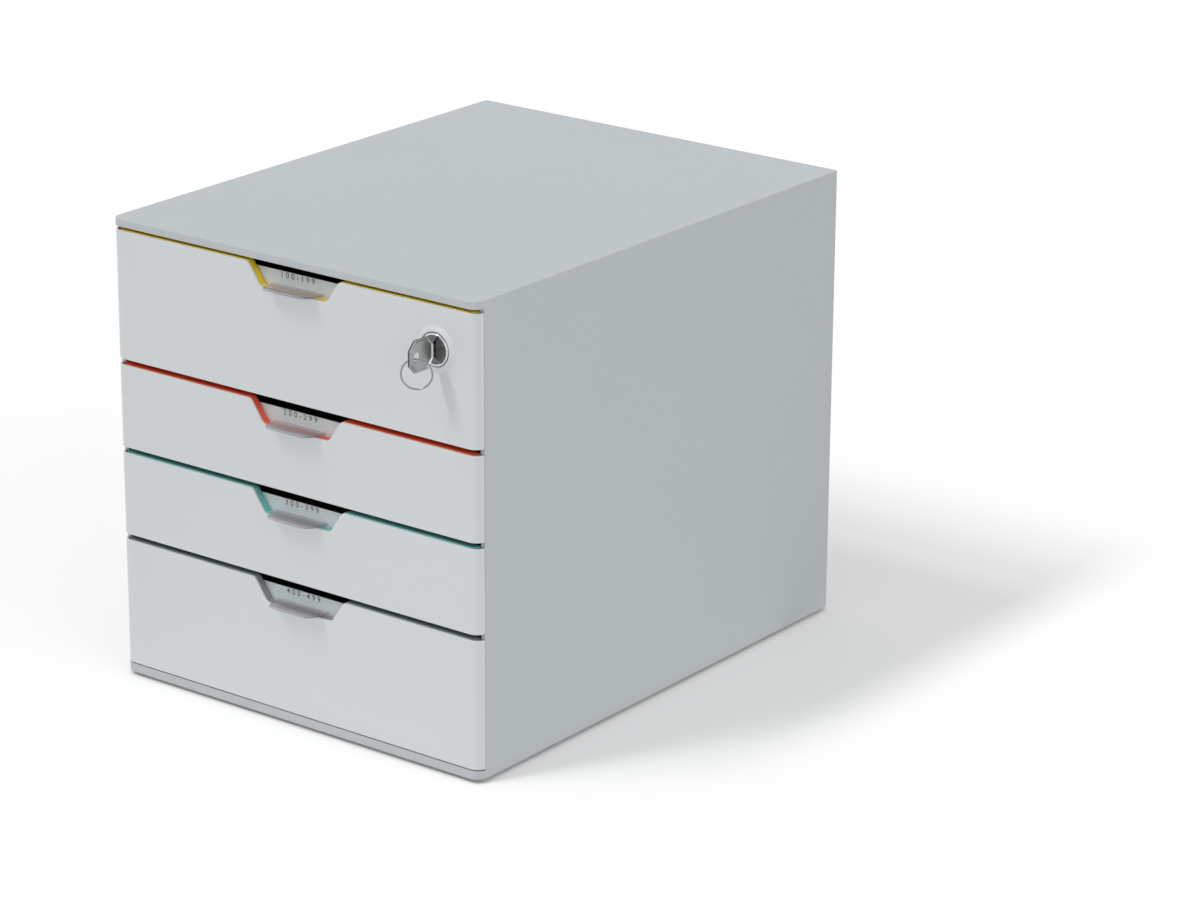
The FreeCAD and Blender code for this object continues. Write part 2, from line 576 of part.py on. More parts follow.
# ---------------------------------------------------------------------------------------
# Drawers. Each piece's own origin is in the front plane, at the middle of the front's top.
# ---------------------------------------------------------------------------------------
def make_tray(label, units, top, hooks, locked):
    """The open tray with its two side rails, rail lugs and the holes for the front."""
    body = new_body(label, z=top)
    bottom = f"(-Sizes.Unit * {units} + Sizes.TrayLift)"
    tall = f"(-Sizes.RimDrop - {bottom})"
    block = new_sketch(body, "block", "XY_Plane", bottom)
    outline(block, [
        (f"-{TRAY_SIDE}", "Sizes.FrontThick", "Sizes.TrayCorner"),
        (TRAY_SIDE, "Sizes.FrontThick", "Sizes.TrayCorner"),
        (TRAY_SIDE, TRAY_BACK, "Sizes.TrayCorner"),
        (f"-{TRAY_SIDE}", TRAY_BACK, "Sizes.TrayCorner"),
    ])
    pad(body, block, tall)
    inside = f"({TRAY_SIDE} - Sizes.TrayWall)"
    inner_round = "(Sizes.TrayCorner - Sizes.TrayWall)"
    hollow = new_sketch(body, "hollow", "XY_Plane", "-Sizes.RimDrop")
    outline(hollow, [
        (f"-{inside}", TRAY_FRONT_INSIDE, inner_round),
        (inside, TRAY_FRONT_INSIDE, inner_round),
        (inside, f"{TRAY_BACK} - Sizes.TrayWall", inner_round),
        (f"-{inside}", f"{TRAY_BACK} - Sizes.TrayWall", inner_round),
    ])
    cut = pocket(body, hollow, f"{tall} - Sizes.TrayFloor")
    floor = number(f"{bottom} + Sizes.TrayFloor")
    bevel_edges(body, cut, "Sizes.TrayBevel", lambda edge: flat_at(edge, "Z", floor), "floor_bevel")

    rails = new_sketch(body, "rails", "XY_Plane", "-Sizes.RimDrop")
    for sign in ("-", ""):
        outline(rails, [
            (f"{sign}({TRAY_SIDE} - Sizes.TrayWall / 2)", "Sizes.FrontThick + Sizes.TrayCorner"),
            (f"{sign}{RAIL_EDGE}", "Sizes.FrontThick + Sizes.TrayCorner"),
            (f"{sign}{RAIL_EDGE}", LUG_FRONT),
            (f"{sign}({RAIL_EDGE} + Sizes.LugReach)", LUG_FRONT),
            (f"{sign}({RAIL_EDGE} + Sizes.LugReach)", f"{LUG_FRONT} + Sizes.LugLength"),
            (f"{sign}{RAIL_EDGE}", f"{LUG_FRONT} + Sizes.LugLength + Sizes.LugReach"),
            (f"{sign}{RAIL_EDGE}", f"{TRAY_BACK} - Sizes.TrayCorner"),
            (f"{sign}({TRAY_SIDE} - Sizes.TrayWall / 2)", f"{TRAY_BACK} - Sizes.TrayCorner"),
        ])
    pad(body, rails, "Sizes.RailThick", reverse=True)

    gap = new_sketch(body, "grip_opening", "XZ_Plane")
    outline(gap, notch_outline("Sizes.CardOverlap - Sizes.TrayWall / 2", "0"))
    pocket(body, gap, TRAY_FRONT_INSIDE)
    back_cut = new_sketch(body, "back_cut", "XZ_Plane", f"-{TRAY_BACK}")
    run = f"({TRAY_SIDE} - Sizes.BackCutMargin)"
    lower = "(-Sizes.RimDrop - Sizes.BackCut)"
    outline(back_cut, [
        (f"-{run}", "0"),
        (f"-{run}", lower, "Sizes.TrayCorner"),
        (run, lower, "Sizes.TrayCorner"),
        (run, "0"),
    ])
    pocket(body, back_cut, "Sizes.TrayWall + Sizes.FitGap", reverse=True)

    slots = new_sketch(body, "hook_slots", "XZ_Plane")
    wide = "(Sizes.HookWidth / 2 + Sizes.FitGap)"
    for x, z in hooks:
        rectangle(
            slots,
            f"{x} - {wide}",
            f"{x} + {wide}",
            f"{z} - Sizes.FitGap",
            f"{z} + Sizes.HookThick + Sizes.FitGap",
        )
    pocket(body, slots, TRAY_FRONT_INSIDE)
    if locked:
        bore = new_sketch(body, "lock_bore", "XZ_Plane")
        circle(bore, LOCK_X, "-Sizes.LockDrop", "Sizes.BarrelRadius + Sizes.FitGap")
        pocket(body, bore, TRAY_FRONT_INSIDE)
    return body


def make_skin(label, units, top, locked):
    """The light outer skin, which wraps round both vertical corners and is open at the notch."""
    body = new_body(label, z=top)
    tall = front_height(units)
    rim = "(-Sizes.FrameReveal)"
    inner_round = "(Sizes.CornerRadius - Sizes.SkinThick)"
    inside = f"({SIDE} - Sizes.SkinThick)"
    deep = "(Sizes.CornerRadius * 2)"
    channel = new_sketch(body, "channel", "XY_Plane", f"-{tall}")
    outline(channel, [
        (f"-{SIDE}", deep),
        (f"-{SIDE}", "0", "Sizes.CornerRadius"),
        (SIDE, "0", "Sizes.CornerRadius"),
        (SIDE, deep),
        (inside, deep),
        (inside, "Sizes.SkinThick", inner_round),
        (f"-{inside}", "Sizes.SkinThick", inner_round),
        (f"-{inside}", deep),
    ])
    pad(body, channel, f"{tall} + {rim}")
    trim = new_sketch(body, "return_trim", "YZ_Plane")
    over = "Sizes.CutOver"
    rectangle(trim, "Sizes.SkinReturn", f"{deep} + {over}", f"-{tall} - {over}", over)
    pocket(body, trim, middle=True)

    notch = new_sketch(body, "notch", "XZ_Plane", over)
    left_top, left_bottom, right_bottom, right_top = notch_outline("0", rim)
    outline(notch, [
        (f"{left_top[0]} - Sizes.NotchTopRound", over),
        (f"{left_top[0]} - Sizes.NotchTopRound", rim),
        (*left_top, "Sizes.NotchTopRound"),
        (*left_bottom, "Sizes.NotchBottomRound"),
        (*right_bottom, "Sizes.NotchBottomRound"),
        (*right_top, "Sizes.NotchTopRound"),
        (f"{right_top[0]} + Sizes.NotchTopRound", rim),
        (f"{right_top[0]} + Sizes.NotchTopRound", over),
    ])
    cut = pocket(body, notch)
    bevel_edges(body, cut, "Sizes.SkinBevel", lambda edge: flat_at(edge, "Y", 0.0), "face_bevel")
    if locked:
        collar = new_sketch(body, "lock_collar", "XY_Plane", "-Sizes.LockDrop")
        seat = "(Sizes.BezelRadius + Sizes.FitGap)"
        shoulder = f"({LOCK_X} + Sizes.BezelRadius + Sizes.CollarCrown)"
        outline(collar, [
            (f"{LOCK_X} + {seat}", "Sizes.SkinThick / 2"),
            (f"{LOCK_X} + {seat}", "-Sizes.CollarHeight + Sizes.CollarBevel"),
            (f"{LOCK_X} + {seat} + Sizes.CollarBevel", "-Sizes.CollarHeight"),
            (shoulder, "-Sizes.CollarHeight"),
            (f"({shoulder} + {LOCK_X} + Sizes.CollarRadius) / 2", f"-Sizes.CollarHeight * {FLANK_SHARE}"),
            (f"{LOCK_X} + Sizes.CollarRadius", "0"),
            (f"{LOCK_X} + Sizes.CollarRadius", "Sizes.SkinThick / 2"),
        ])
        revolve(body, collar, LOCK_X)
        bore = new_sketch(body, "lock_bore", "XZ_Plane", f"Sizes.CollarHeight + {over}")
        circle(bore, LOCK_X, "-Sizes.LockDrop", "Sizes.BarrelRadius + Sizes.FitGap")
        pocket(body, bore)
    return body


def make_frame(label, units, top, hooks, locked):
    """The coloured frame behind the skin: a hollow panel with notch walls and snap hooks."""
    body = new_body(label, z=top)
    tall = front_height(units)
    edge = f"({INNER_SIDE} - Sizes.FrameGap)"
    depth = "(Sizes.FrontThick - Sizes.SkinThick)"
    left_top, left_bottom, right_bottom, right_top = notch_outline("0", "0")
    panel = new_sketch(body, "panel", "XZ_Plane", "-Sizes.SkinThick")
    outline(panel, [
        (f"-{edge}", "0"),
        (f"-{edge}", f"-{tall}"),
        (edge, f"-{tall}"),
        (edge, "0"),
        (*right_top, "Sizes.NotchTopRound"),
        (*right_bottom, "Sizes.NotchBottomRound"),
        (*left_bottom, "Sizes.NotchBottomRound"),
        (*left_top, "Sizes.NotchTopRound"),
    ])
    pad(body, panel, depth, reverse=True)

    plan = new_sketch(body, "plan_trim", "XY_Plane")
    inner_round = "(Sizes.CornerRadius - Sizes.SkinThick)"
    over = "Sizes.CutOver"
    rectangle(
        plan,
        f"-{edge} - {over}",
        f"{edge} + {over}",
        f"Sizes.SkinThick - {over}",
        f"Sizes.FrontThick + 2 * {over}",
    )
    outline(plan, [
        (f"-{edge}", "Sizes.SkinThick", inner_round),
        (edge, "Sizes.SkinThick", inner_round),
        (edge, f"Sizes.FrontThick + {over}"),
        (f"-{edge}", f"Sizes.FrontThick + {over}"),
    ])
    pocket(body, plan)

    hollow = new_sketch(body, "hollow", "XZ_Plane", "-Sizes.SkinThick")
    inner_top = "-Sizes.FrameWall"
    hollow_side = f"({edge} - {inner_round})"
    left_top, left_bottom, right_bottom, right_top = notch_outline("Sizes.FrameWall", inner_top)
    outline(hollow, [
        (f"-{hollow_side}", inner_top),
        (f"-{hollow_side}", f"-{tall} + Sizes.FrameWall"),
        (hollow_side, f"-{tall} + Sizes.FrameWall"),
        (hollow_side, inner_top),
        right_top,
        right_bottom,
        left_bottom,
        left_top,
    ])
    pocket(body, hollow, f"{depth} - Sizes.FramePlate")

    seat = new_sketch(body, "holder_seat", "XZ_Plane", "-Sizes.FrontThick")
    outline(seat, notch_outline("Sizes.HolderFlange + Sizes.FitGap", over))
    pocket(body, seat, "Sizes.HolderThick", reverse=True)

    for index, (x, z) in enumerate(hooks, start=1):
        hook = new_sketch(body, f"hook_{index}", "YZ_Plane", x)
        behind = f"({TRAY_FRONT_INSIDE} + Sizes.FitGap)"
        outline(hook, [
            ("Sizes.FrontThick - Sizes.FramePlate / 2", z),
            (f"{behind} + Sizes.HookNibLength", z),
            (f"{behind} + Sizes.HookNibLength", f"{z} + Sizes.HookThick"),
            (behind, f"{z} + Sizes.HookThick + Sizes.HookNib"),
            (behind, f"{z} + Sizes.HookThick"),
            ("Sizes.FrontThick - Sizes.FramePlate / 2", f"{z} + Sizes.HookThick"),
        ])
        pad(body, hook, "Sizes.HookWidth", middle=True)
    if locked:
        boss = new_sketch(body, "lock_boss", "XZ_Plane", "-Sizes.SkinThick")
        circle(boss, LOCK_X, "-Sizes.LockDrop", "Sizes.BarrelRadius + Sizes.FitGap + Sizes.FrameWall")
        pad(body, boss, depth, reverse=True)
        bore = new_sketch(body, "lock_bore", "XZ_Plane")
        circle(bore, LOCK_X, "-Sizes.LockDrop", "Sizes.BarrelRadius + Sizes.FitGap")
        pocket(body, bore)
    return body


def make_grip(label, top):
    """The clear label holder: a window with a flange behind the notch and a rising ledge."""
    body = new_body(label, z=top)
    window = new_sketch(body, "window", "XZ_Plane", "-Sizes.FrontThick")
    left_top, left_bottom, right_bottom, right_top = notch_outline("-Sizes.FitGap", "-Sizes.WindowDrop")
    outline(window, [
        left_top,
        (*left_bottom, "Sizes.NotchBottomRound"),
        (*right_bottom, "Sizes.NotchBottomRound"),
        right_top,
    ])
    pad(body, window, "Sizes.FrontThick - Sizes.WindowSetback")
    flange = new_sketch(body, "flange", "XZ_Plane", "-Sizes.FrontThick")
    outline(flange, notch_outline("Sizes.HolderFlange", "-Sizes.WindowDrop"))
    pad(body, flange, "Sizes.HolderThick")

    ledge = new_sketch(body, "ledge", "YZ_Plane", "Sizes.NotchOffset")
    under = "(-Sizes.NotchDepth + Sizes.GripLift)"
    over = f"({under} + Sizes.GripThick)"
    hold = "(Sizes.FrontThick - Sizes.HolderThick)"
    outline(ledge, [
        (hold, under),
        ("0", under),
        ("-Sizes.GripReach", f"{under} + Sizes.GripRise"),
        ("-Sizes.GripReach", f"{over} + Sizes.GripRise + Sizes.GripRim"),
        ("-Sizes.GripReach + Sizes.GripRimWidth", f"{over} + Sizes.GripRise + Sizes.GripRim"),
        ("-Sizes.GripReach + Sizes.GripRimWidth + Sizes.GripRim", f"{over} + Sizes.GripRise - Sizes.GripRim"),
        ("0", over),
        (hold, over),
    ])
    pad(body, ledge, "Sizes.NotchTopWidth", middle=True)

    plan = new_sketch(body, "ledge_trim", "XY_Plane", f"{under} - Sizes.CutOver")
    foot_half = notch_outline("-Sizes.FitGap", "0")[2][0]
    base = f"({foot_half} - Sizes.NotchOffset - Sizes.GripInset)"
    tip = f"({base} - Sizes.GripSlant)"
    far = "(Sizes.NotchTopWidth / 2 + Sizes.CutOver)"
    ahead = "(-Sizes.GripReach - Sizes.CutOver)"
    outline(plan, [
        (f"Sizes.NotchOffset - {far}", hold),
        (f"Sizes.NotchOffset - {far}", ahead),
        (f"Sizes.NotchOffset + {far}", ahead),
        (f"Sizes.NotchOffset + {far}", hold),
        (f"Sizes.NotchOffset + {base}", hold),
        (f"Sizes.NotchOffset + {tip}", "-Sizes.GripReach", "Sizes.GripRound"),
        (f"Sizes.NotchOffset - {tip}", "-Sizes.GripReach", "Sizes.GripRound"),
        (f"Sizes.NotchOffset - {base}", hold),
    ])
    tall = "(Sizes.GripThick + Sizes.GripRise + Sizes.GripRim)"
    pocket(body, plan, f"{tall} + 2 * Sizes.CutOver", reverse=True)

    slot = new_sketch(body, "card_slot", "XZ_Plane", "-Sizes.FrontThick")
    outline(slot, notch_outline("Sizes.CardOverlap + Sizes.FitGap", "0"))
    pocket(body, slot, "Sizes.CardThick + Sizes.FitGap", reverse=True)
    return body


def make_label(label, top):
    """The card in the slot behind the clear window."""
    body = new_body(label, z=top)
    card = new_sketch(body, "card", "XZ_Plane", "-(Sizes.FrontThick - Sizes.FitGap / 2)")
    outline(card, notch_outline("Sizes.CardOverlap", "-Sizes.WindowDrop - Sizes.FitGap"))
    pad(body, card, "Sizes.CardThick")
    return body


def make_drawers():
    """All pieces of the four drawers, from the top one down."""
    pieces = []
    for index, (units, top) in enumerate(zip(UNITS, FRONT_TOPS), start=1):
        locked = index == 1
        across = "Sizes.HookSpacing / 2"
        high = "(-Sizes.HookDrop)"
        low = f"(-{front_height(units)} + Sizes.HookRise)"
        hooks = [(f"-{across}", high), (across, high), (f"-{across}", low), (across, low)]
        name = f"drawer_{index}"
        pieces.append(make_tray(f"{name}_tray", units, top, hooks, locked))
        pieces.append(make_skin(f"{name}_front", units, top, locked))
        pieces.append(make_frame(f"{name}_frame", units, top, hooks, locked))
        pieces.append(make_grip(f"{name}_grip", top))
        pieces.append(make_label(f"{name}_label", top))
    return pieces


# ---------------------------------------------------------------------------------------
# Lock, key and ring. Each piece's own origin is where the lock axis meets the front plane.
# ---------------------------------------------------------------------------------------
def lock_body(label):
    """A body on the lock axis."""
    return new_body(label, x=LOCK_X, z=LOCK_Z)


def make_lock_barrel():
    """The barrel: chrome bezel, recess for the plug's disc, and a body with two flats."""
    body = lock_body("lock_barrel")
    bore = "(Sizes.PlugRadius + Sizes.PlugGap)"
    recess = "(Sizes.DiscRadius + Sizes.PlugGap)"
    recess_floor = "(-Sizes.BezelProud + Sizes.DiscThick + Sizes.PlugGap)"
    profile = new_sketch(body, "profile", "XY_Plane")
    outline(profile, [
        (bore, "Sizes.BarrelLength"),
        (bore, recess_floor),
        (recess, recess_floor),
        (recess, "-Sizes.BezelProud"),
        ("Sizes.BezelRadius - Sizes.BezelChamfer", "-Sizes.BezelProud"),
        ("Sizes.BezelRadius", "-Sizes.BezelProud + Sizes.BezelChamfer"),
        ("Sizes.BezelRadius", "0"),
        ("Sizes.BarrelRadius", "0"),
        ("Sizes.BarrelRadius", "Sizes.BarrelLength"),
    ])
    revolve(body, profile, "0")
    flats = new_sketch(body, "flats", "XZ_Plane")
    for sign in ("-", ""):
        rectangle(
            flats,
            "-Sizes.BarrelRadius - Sizes.CutOver",
            "Sizes.BarrelRadius + Sizes.CutOver",
            f"{sign}Sizes.BarrelFlat",
            f"{sign}(Sizes.BarrelRadius + Sizes.CutOver)",
        )
    pocket(body, flats)
    return body


def make_lock_nut():
    """The hexagonal nut that clamps the barrel against the tray's front wall."""
    body = lock_body("lock_nut")
    flat = "(Sizes.NutAcross / 2)"
    corner = f"({flat} / cos(30))"
    hexagon = new_sketch(body, "hexagon", "XZ_Plane", f"-{TRAY_FRONT_INSIDE}")
    outline(hexagon, [
        ("0", f"-{corner}"),
        (flat, f"-{corner} / 2"),
        (flat, f"{corner} / 2"),
        ("0", corner),
        (f"-{flat}", f"{corner} / 2"),
        (f"-{flat}", f"-{corner} / 2"),
    ])
    circle(hexagon, "0", "0", "Sizes.BarrelRadius + Sizes.ThreadGap")
    pad(body, hexagon, "Sizes.NutThick", reverse=True)
    return body


def make_lock_plug():
    """The turning plug: face disc, body with a keyway, and a square stub for the cam."""
    body = lock_body("lock_plug")
    shoulder = "(-Sizes.BezelProud + Sizes.DiscThick)"
    plug_end = "(Sizes.BarrelLength + Sizes.CamGap)"
    profile = new_sketch(body, "profile", "XY_Plane")
    outline(profile, [
        ("0", "-Sizes.BezelProud"),
        ("Sizes.DiscRadius", "-Sizes.BezelProud"),
        ("Sizes.DiscRadius", shoulder),
        ("Sizes.PlugRadius", shoulder),
        ("Sizes.PlugRadius", plug_end),
        ("0", plug_end),
    ])
    revolve(body, profile, "0")
    stub = new_sketch(body, "stub", "XZ_Plane", f"-{plug_end}")
    rectangle(stub, "-Sizes.StubSide / 2", "Sizes.StubSide / 2", "-Sizes.StubSide / 2", "Sizes.StubSide / 2")
    pad(body, stub, "Sizes.CamThick", reverse=True)
    keyway = new_sketch(body, "keyway", "XZ_Plane", "Sizes.BezelProud")
    wide = "(Sizes.KeyThick / 2 + Sizes.KeyGap)"
    tall = "(Sizes.BladeHeight / 2 + Sizes.KeyGap)"
    rectangle(keyway, f"-{wide}", wide, f"-{tall}", tall)
    pocket(body, keyway, f"Sizes.BezelProud + {KEYWAY_END}")
    hole = new_sketch(body, "screw_hole", "XZ_Plane", f"-{CAM_BACK}")
    circle(hole, "0", "0", "Sizes.ScrewRadius + Sizes.ThreadGap")
    pocket(body, hole, "Sizes.ScrewLength + Sizes.ThreadGap", reverse=True)
    return body


def make_lock_cam():
    """The flat cam on the plug's stub; it points to the left while the lock is open."""
    body = lock_body("lock_cam")
    half = "(Sizes.CamWidth / 2)"
    plan = new_sketch(body, "plan", "XZ_Plane", f"-{CAM_FRONT}")
    outline(plan, [
        (half, half, f"{half} - Sizes.FitGap"),
        ("-Sizes.CamReach", half, "Sizes.CamWidth / 4"),
        ("-Sizes.CamReach", f"-{half}", "Sizes.CamWidth / 4"),
        (half, f"-{half}", f"{half} - Sizes.FitGap"),
    ])
    drive = "(Sizes.StubSide / 2 + Sizes.ThreadGap)"
    rectangle(plan, f"-{drive}", drive, f"-{drive}", drive)
    pad(body, plan, "Sizes.CamThick", reverse=True)
    return body


def make_cam_screw():
    """The slotted screw that holds the cam on the plug."""
    body = lock_body("cam_screw")
    profile = new_sketch(body, "profile", "XY_Plane")
    head_back = f"({CAM_BACK} + Sizes.ScrewHeadThick)"
    outline(profile, [
        ("0", SCREW_TIP),
        ("Sizes.ScrewRadius", SCREW_TIP),
        ("Sizes.ScrewRadius", CAM_BACK),
        ("Sizes.ScrewHead", CAM_BACK),
        ("Sizes.ScrewHead", f"{head_back} - Sizes.ScrewHeadThick / 2"),
        ("Sizes.ScrewHead - Sizes.ScrewHeadThick / 2", head_back),
        ("0", head_back),
    ])
    revolve(body, profile, "0")
    slot = new_sketch(body, "slot", "XZ_Plane", f"-{head_back}")
    rectangle(slot, "-Sizes.ScrewHead", "Sizes.ScrewHead", "-Sizes.ScrewSlot / 2", "Sizes.ScrewSlot / 2")
    pocket(body, slot, "Sizes.ScrewHeadThick / 2", reverse=True)
    return body


def make_key():
    """The flat key: octagonal bow with a hole, and a blade with cuts on both edges."""
    body = lock_body("key")
    front = f"-{KEY_REACH}"
    back = f"({front} + Sizes.BowLength)"
    high = "(Sizes.BowHeight / 2)"
    blade = "(Sizes.BladeHeight / 2)"
    cut = "Sizes.BowChamfer"
    lower = []
    for index in range(KEY_CUTS):
        place = f"(Sizes.CutPitch * {index + 1})"
        deep = f"({blade} - Sizes.CutDepth)"
        lower.append((f"{place} - Sizes.CutPitch / 3", f"-{blade}"))
        lower.append((place, f"-{deep}"))
        lower.append((f"{place} + Sizes.CutPitch / 3", f"-{blade}"))
    upper = [(y, z.replace("-", "", 1)) for y, z in reversed(lower)]
    plan = new_sketch(body, "plan", "YZ_Plane")
    outline(plan, [
        (f"{front} + {cut}", f"-{high}"),
        (f"{back} - {cut}", f"-{high}"),
        (back, f"-{high} + {cut}"),
        (back, f"-{blade}"),
        *lower,
        (f"{BLADE_TIP} - Sizes.CutDepth", f"-{blade}"),
        (BLADE_TIP, f"-{blade} + Sizes.CutDepth"),
        (BLADE_TIP, f"{blade} - Sizes.CutDepth"),
        (f"{BLADE_TIP} - Sizes.CutDepth", blade),
        *upper,
        (back, blade),
        (back, f"{high} - {cut}"),
        (f"{back} - {cut}", high),
        (f"{front} + {cut}", high),
        (front, f"{high} - {cut}"),
        (front, f"-{high} + {cut}"),
    ])
    circle(plan, f"{front} + Sizes.BowHoleInset", "-Sizes.BowHoleDrop", "Sizes.BowHoleRadius")
    pad(body, plan, "Sizes.KeyThick", middle=True)
    return body


def make_key_ring():
    """A wire ring that hangs in the bow's hole, turned a little to the right."""
    body = new_body(
        "key_ring",
        x=LOCK_X,
        y=f"{FRONT_PLANE} - {KEY_REACH} + Sizes.BowHoleInset",
        z=f"{LOCK_Z} - Sizes.BowHoleDrop - Sizes.RingHang - Sizes.RingRadius",
    )
    body.Placement.Rotation = FreeCAD.Rotation(Vector(0, 0, 1), number("Sizes.RingTurn"))
    wire = new_sketch(body, "wire", "XY_Plane")
    turn = 360.0 / WIRE_SIDES
    outline(wire, [
        (
            f"Sizes.RingRadius + Sizes.WireRadius * cos({turn * (side + 0.5)})",
            f"Sizes.WireRadius * sin({turn * (side + 0.5)})",
        )
        for side in range(WIRE_SIDES)
    ])
    revolve(body, wire, "0")
    return body


# ---------------------------------------------------------------------------------------
# Build, check and write.
# ---------------------------------------------------------------------------------------
def check(pieces):
    """Stop on a failed feature or a piece without one valid shape."""
    doc.recompute()
    for item in doc.Objects:
        if "Invalid" in item.State or "Error" in item.State:
            raise RuntimeError(f"{item.Name} of {item.Label} failed: {item.State}")
    for piece in pieces:
        if piece.Shape.isNull() or not piece.Shape.isValid():
            raise RuntimeError(f"{piece.Label} has no valid shape")


def main():
    """Make every piece and write it under its own name."""
    pieces = [
        make_housing_shell(),
        make_back_panel(),
        make_runner("runner_left", -1),
        make_runner("runner_right", 1),
        make_rubber_feet(),
        make_lock_strike(),
        *make_drawers(),
        make_lock_barrel(),
        make_lock_nut(),
        make_lock_plug(),
        make_lock_cam(),
        make_cam_screw(),
        make_key(),
        make_key_ring(),
    ]
    check(pieces)
    os.makedirs("parts", exist_ok=True)
    for piece in pieces:
        piece.Shape.exportStep(f"parts/{piece.Label}.step")
        print(f"{piece.Label}: {len(piece.Shape.Solids)} solid(s), {piece.Shape.Volume / 1000:.2f} cm3")


main()
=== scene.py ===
# %% [markdown]
# # A desktop drawer box, dressed in Blender
#
# The box is a moulded sleeve with four drawers. Each drawer has a light front skin, a coloured
# frame behind it, and a clear holder with a card in the notch at its top. The top drawer has a
# cam lock with its key and a thin ring.
#
# A fixed frame of solid parts gives every piece its place and its motion. This lesson keeps the
# parts whose shape is already right, and builds the ones that need soft edges again as numpy
# surfaces. Lengths are written in millimetres and become metres in one place.

# %% Load the frame
import bmesh
import bpy
import math
import numpy as np
from mathutils import Matrix, Vector


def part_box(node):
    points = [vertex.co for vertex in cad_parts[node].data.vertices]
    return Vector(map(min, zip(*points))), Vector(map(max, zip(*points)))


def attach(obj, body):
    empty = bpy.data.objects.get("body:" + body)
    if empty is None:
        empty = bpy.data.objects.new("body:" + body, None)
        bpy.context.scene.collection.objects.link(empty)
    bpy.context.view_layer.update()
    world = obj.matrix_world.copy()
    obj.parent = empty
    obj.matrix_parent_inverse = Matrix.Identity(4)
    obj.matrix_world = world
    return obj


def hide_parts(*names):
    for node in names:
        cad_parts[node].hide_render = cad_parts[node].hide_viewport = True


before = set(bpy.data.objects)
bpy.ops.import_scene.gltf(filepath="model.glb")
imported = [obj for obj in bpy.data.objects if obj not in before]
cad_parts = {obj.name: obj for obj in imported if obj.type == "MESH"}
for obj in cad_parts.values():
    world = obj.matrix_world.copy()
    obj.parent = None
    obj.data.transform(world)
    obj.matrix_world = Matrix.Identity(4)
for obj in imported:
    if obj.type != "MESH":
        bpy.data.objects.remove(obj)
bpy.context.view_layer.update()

# %% [markdown]
# ## From arrays to a mesh
#
# Most pieces here are *lofts*: a closed ring of points is repeated along a path, and quads join
# each ring to the next. A ring that returns to the first one makes a tube, and two end caps make
# a solid bar. Working with whole arrays keeps this fast, and one function can then turn any set
# of such shells into a mesh with outward faces and smooth shading.

# %% Loft helpers
def loft(rings, closed=False):
    """Faces between rings of shape (count, points, 3): quads from each ring to the next, and an
    end cap on the first and last ring unless the rings close on themselves."""
    rings = np.asarray(rings, float)
    count, points = rings.shape[:2]
    index = np.arange(count * points).reshape(count, points)
    if closed:
        index = np.vstack([index, index[:1]])
    a, b = index[:-1], index[1:]
    quads = np.stack([a, np.roll(a, -1, 1), np.roll(b, -1, 1), b], -1).reshape(-1, 4)
    faces = quads.tolist()
    if not closed:
        faces += [index[0][::-1].tolist(), index[-1].tolist()]
    return rings.reshape(-1, 3), faces


def joined(shells):
    """Several (points, faces) shells as one, with each shell's face numbers moved on."""
    points, faces, start = [], [], 0
    for shell_points, shell_faces in shells:
        points.append(shell_points)
        faces += [[start + i for i in face] for face in shell_faces]
        start += len(shell_points)
    return np.vstack(points), faces


print("helpers ready:", [f.__name__ for f in (loft, joined)])

# %% Piece helper
MM = 0.001
# Points closer than this, in metres, are one point, and a shorter edge counts as none.
SAME_POINT, NO_LENGTH = 1e-6, 1e-7


def piece(name, shells, finish, body, stands_for=(), sharp=32.0):
    """A mesh object from shells in millimetres, with outward faces, that rides on a body. An
    edge between faces that turn by more than sharp degrees keeps its crease."""
    points, faces = joined(shells)
    mesh = bpy.data.meshes.new(name)
    mesh.from_pydata((points * MM).tolist(), [], faces)
    work = bmesh.new()
    work.from_mesh(mesh)
    bmesh.ops.remove_doubles(work, verts=work.verts, dist=SAME_POINT)
    bmesh.ops.dissolve_degenerate(work, edges=work.edges, dist=NO_LENGTH)
    bmesh.ops.recalc_face_normals(work, faces=work.faces)
    work.to_mesh(mesh)
    work.free()
    mesh.shade_smooth()
    mesh.set_sharp_from_angle(angle=math.radians(sharp))
    mesh.materials.append(finish)
    made = bpy.data.objects.new(name, mesh)
    bpy.context.scene.collection.objects.link(made)
    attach(made, body)
    if stands_for:
        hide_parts(*stands_for)
    print(f"{name}: {len(mesh.polygons)} faces on {body}")


# %% [markdown]
# ## Outlines with rounded corners
#
# Moulded plastic and pressed metal have no knife edges. Two helpers make that easy: one rounds
# the corners of a flat outline with arcs that touch both sides, and one moves an outline inwards
# along its own normals. A plate whose outer rings are moved in a little has bevelled rims.

# %% Outline helpers
# The stretch at a tight corner of an inset outline is held to 1 over this share.
LEAST_SPREAD = 0.4


def rounded(corners, steps=6):
    """A closed outline through corners (x, y, radius). At a corner the arc starts and ends
    radius / tan(half the angle) away from it, where it touches both sides."""
    spots = np.array([c[:2] for c in corners], float)
    out = []
    for i, corner in enumerate(corners):
        here, radius = spots[i], corner[2]
        if radius == 0:
            out.append(here[None])
            continue
        to_last = spots[i - 1] - here
        to_next = spots[(i + 1) % len(spots)] - here
        to_last, to_next = to_last / np.hypot(*to_last), to_next / np.hypot(*to_next)
        half = np.arccos(np.clip(to_last @ to_next, -1, 1)) / 2
        middle = to_last + to_next
        centre = here + middle / np.hypot(*middle) * radius / np.sin(half)
        start = here + to_last * radius / np.tan(half) - centre
        end = here + to_next * radius / np.tan(half) - centre
        first = math.atan2(start[1], start[0])
        turn = (math.atan2(end[1], end[0]) - first + math.pi) % (2 * math.pi) - math.pi
        angle = first + turn * np.linspace(0, 1, steps + 1)
        out.append(centre + radius * np.stack([np.cos(angle), np.sin(angle)], -1))
    return np.vstack(out)


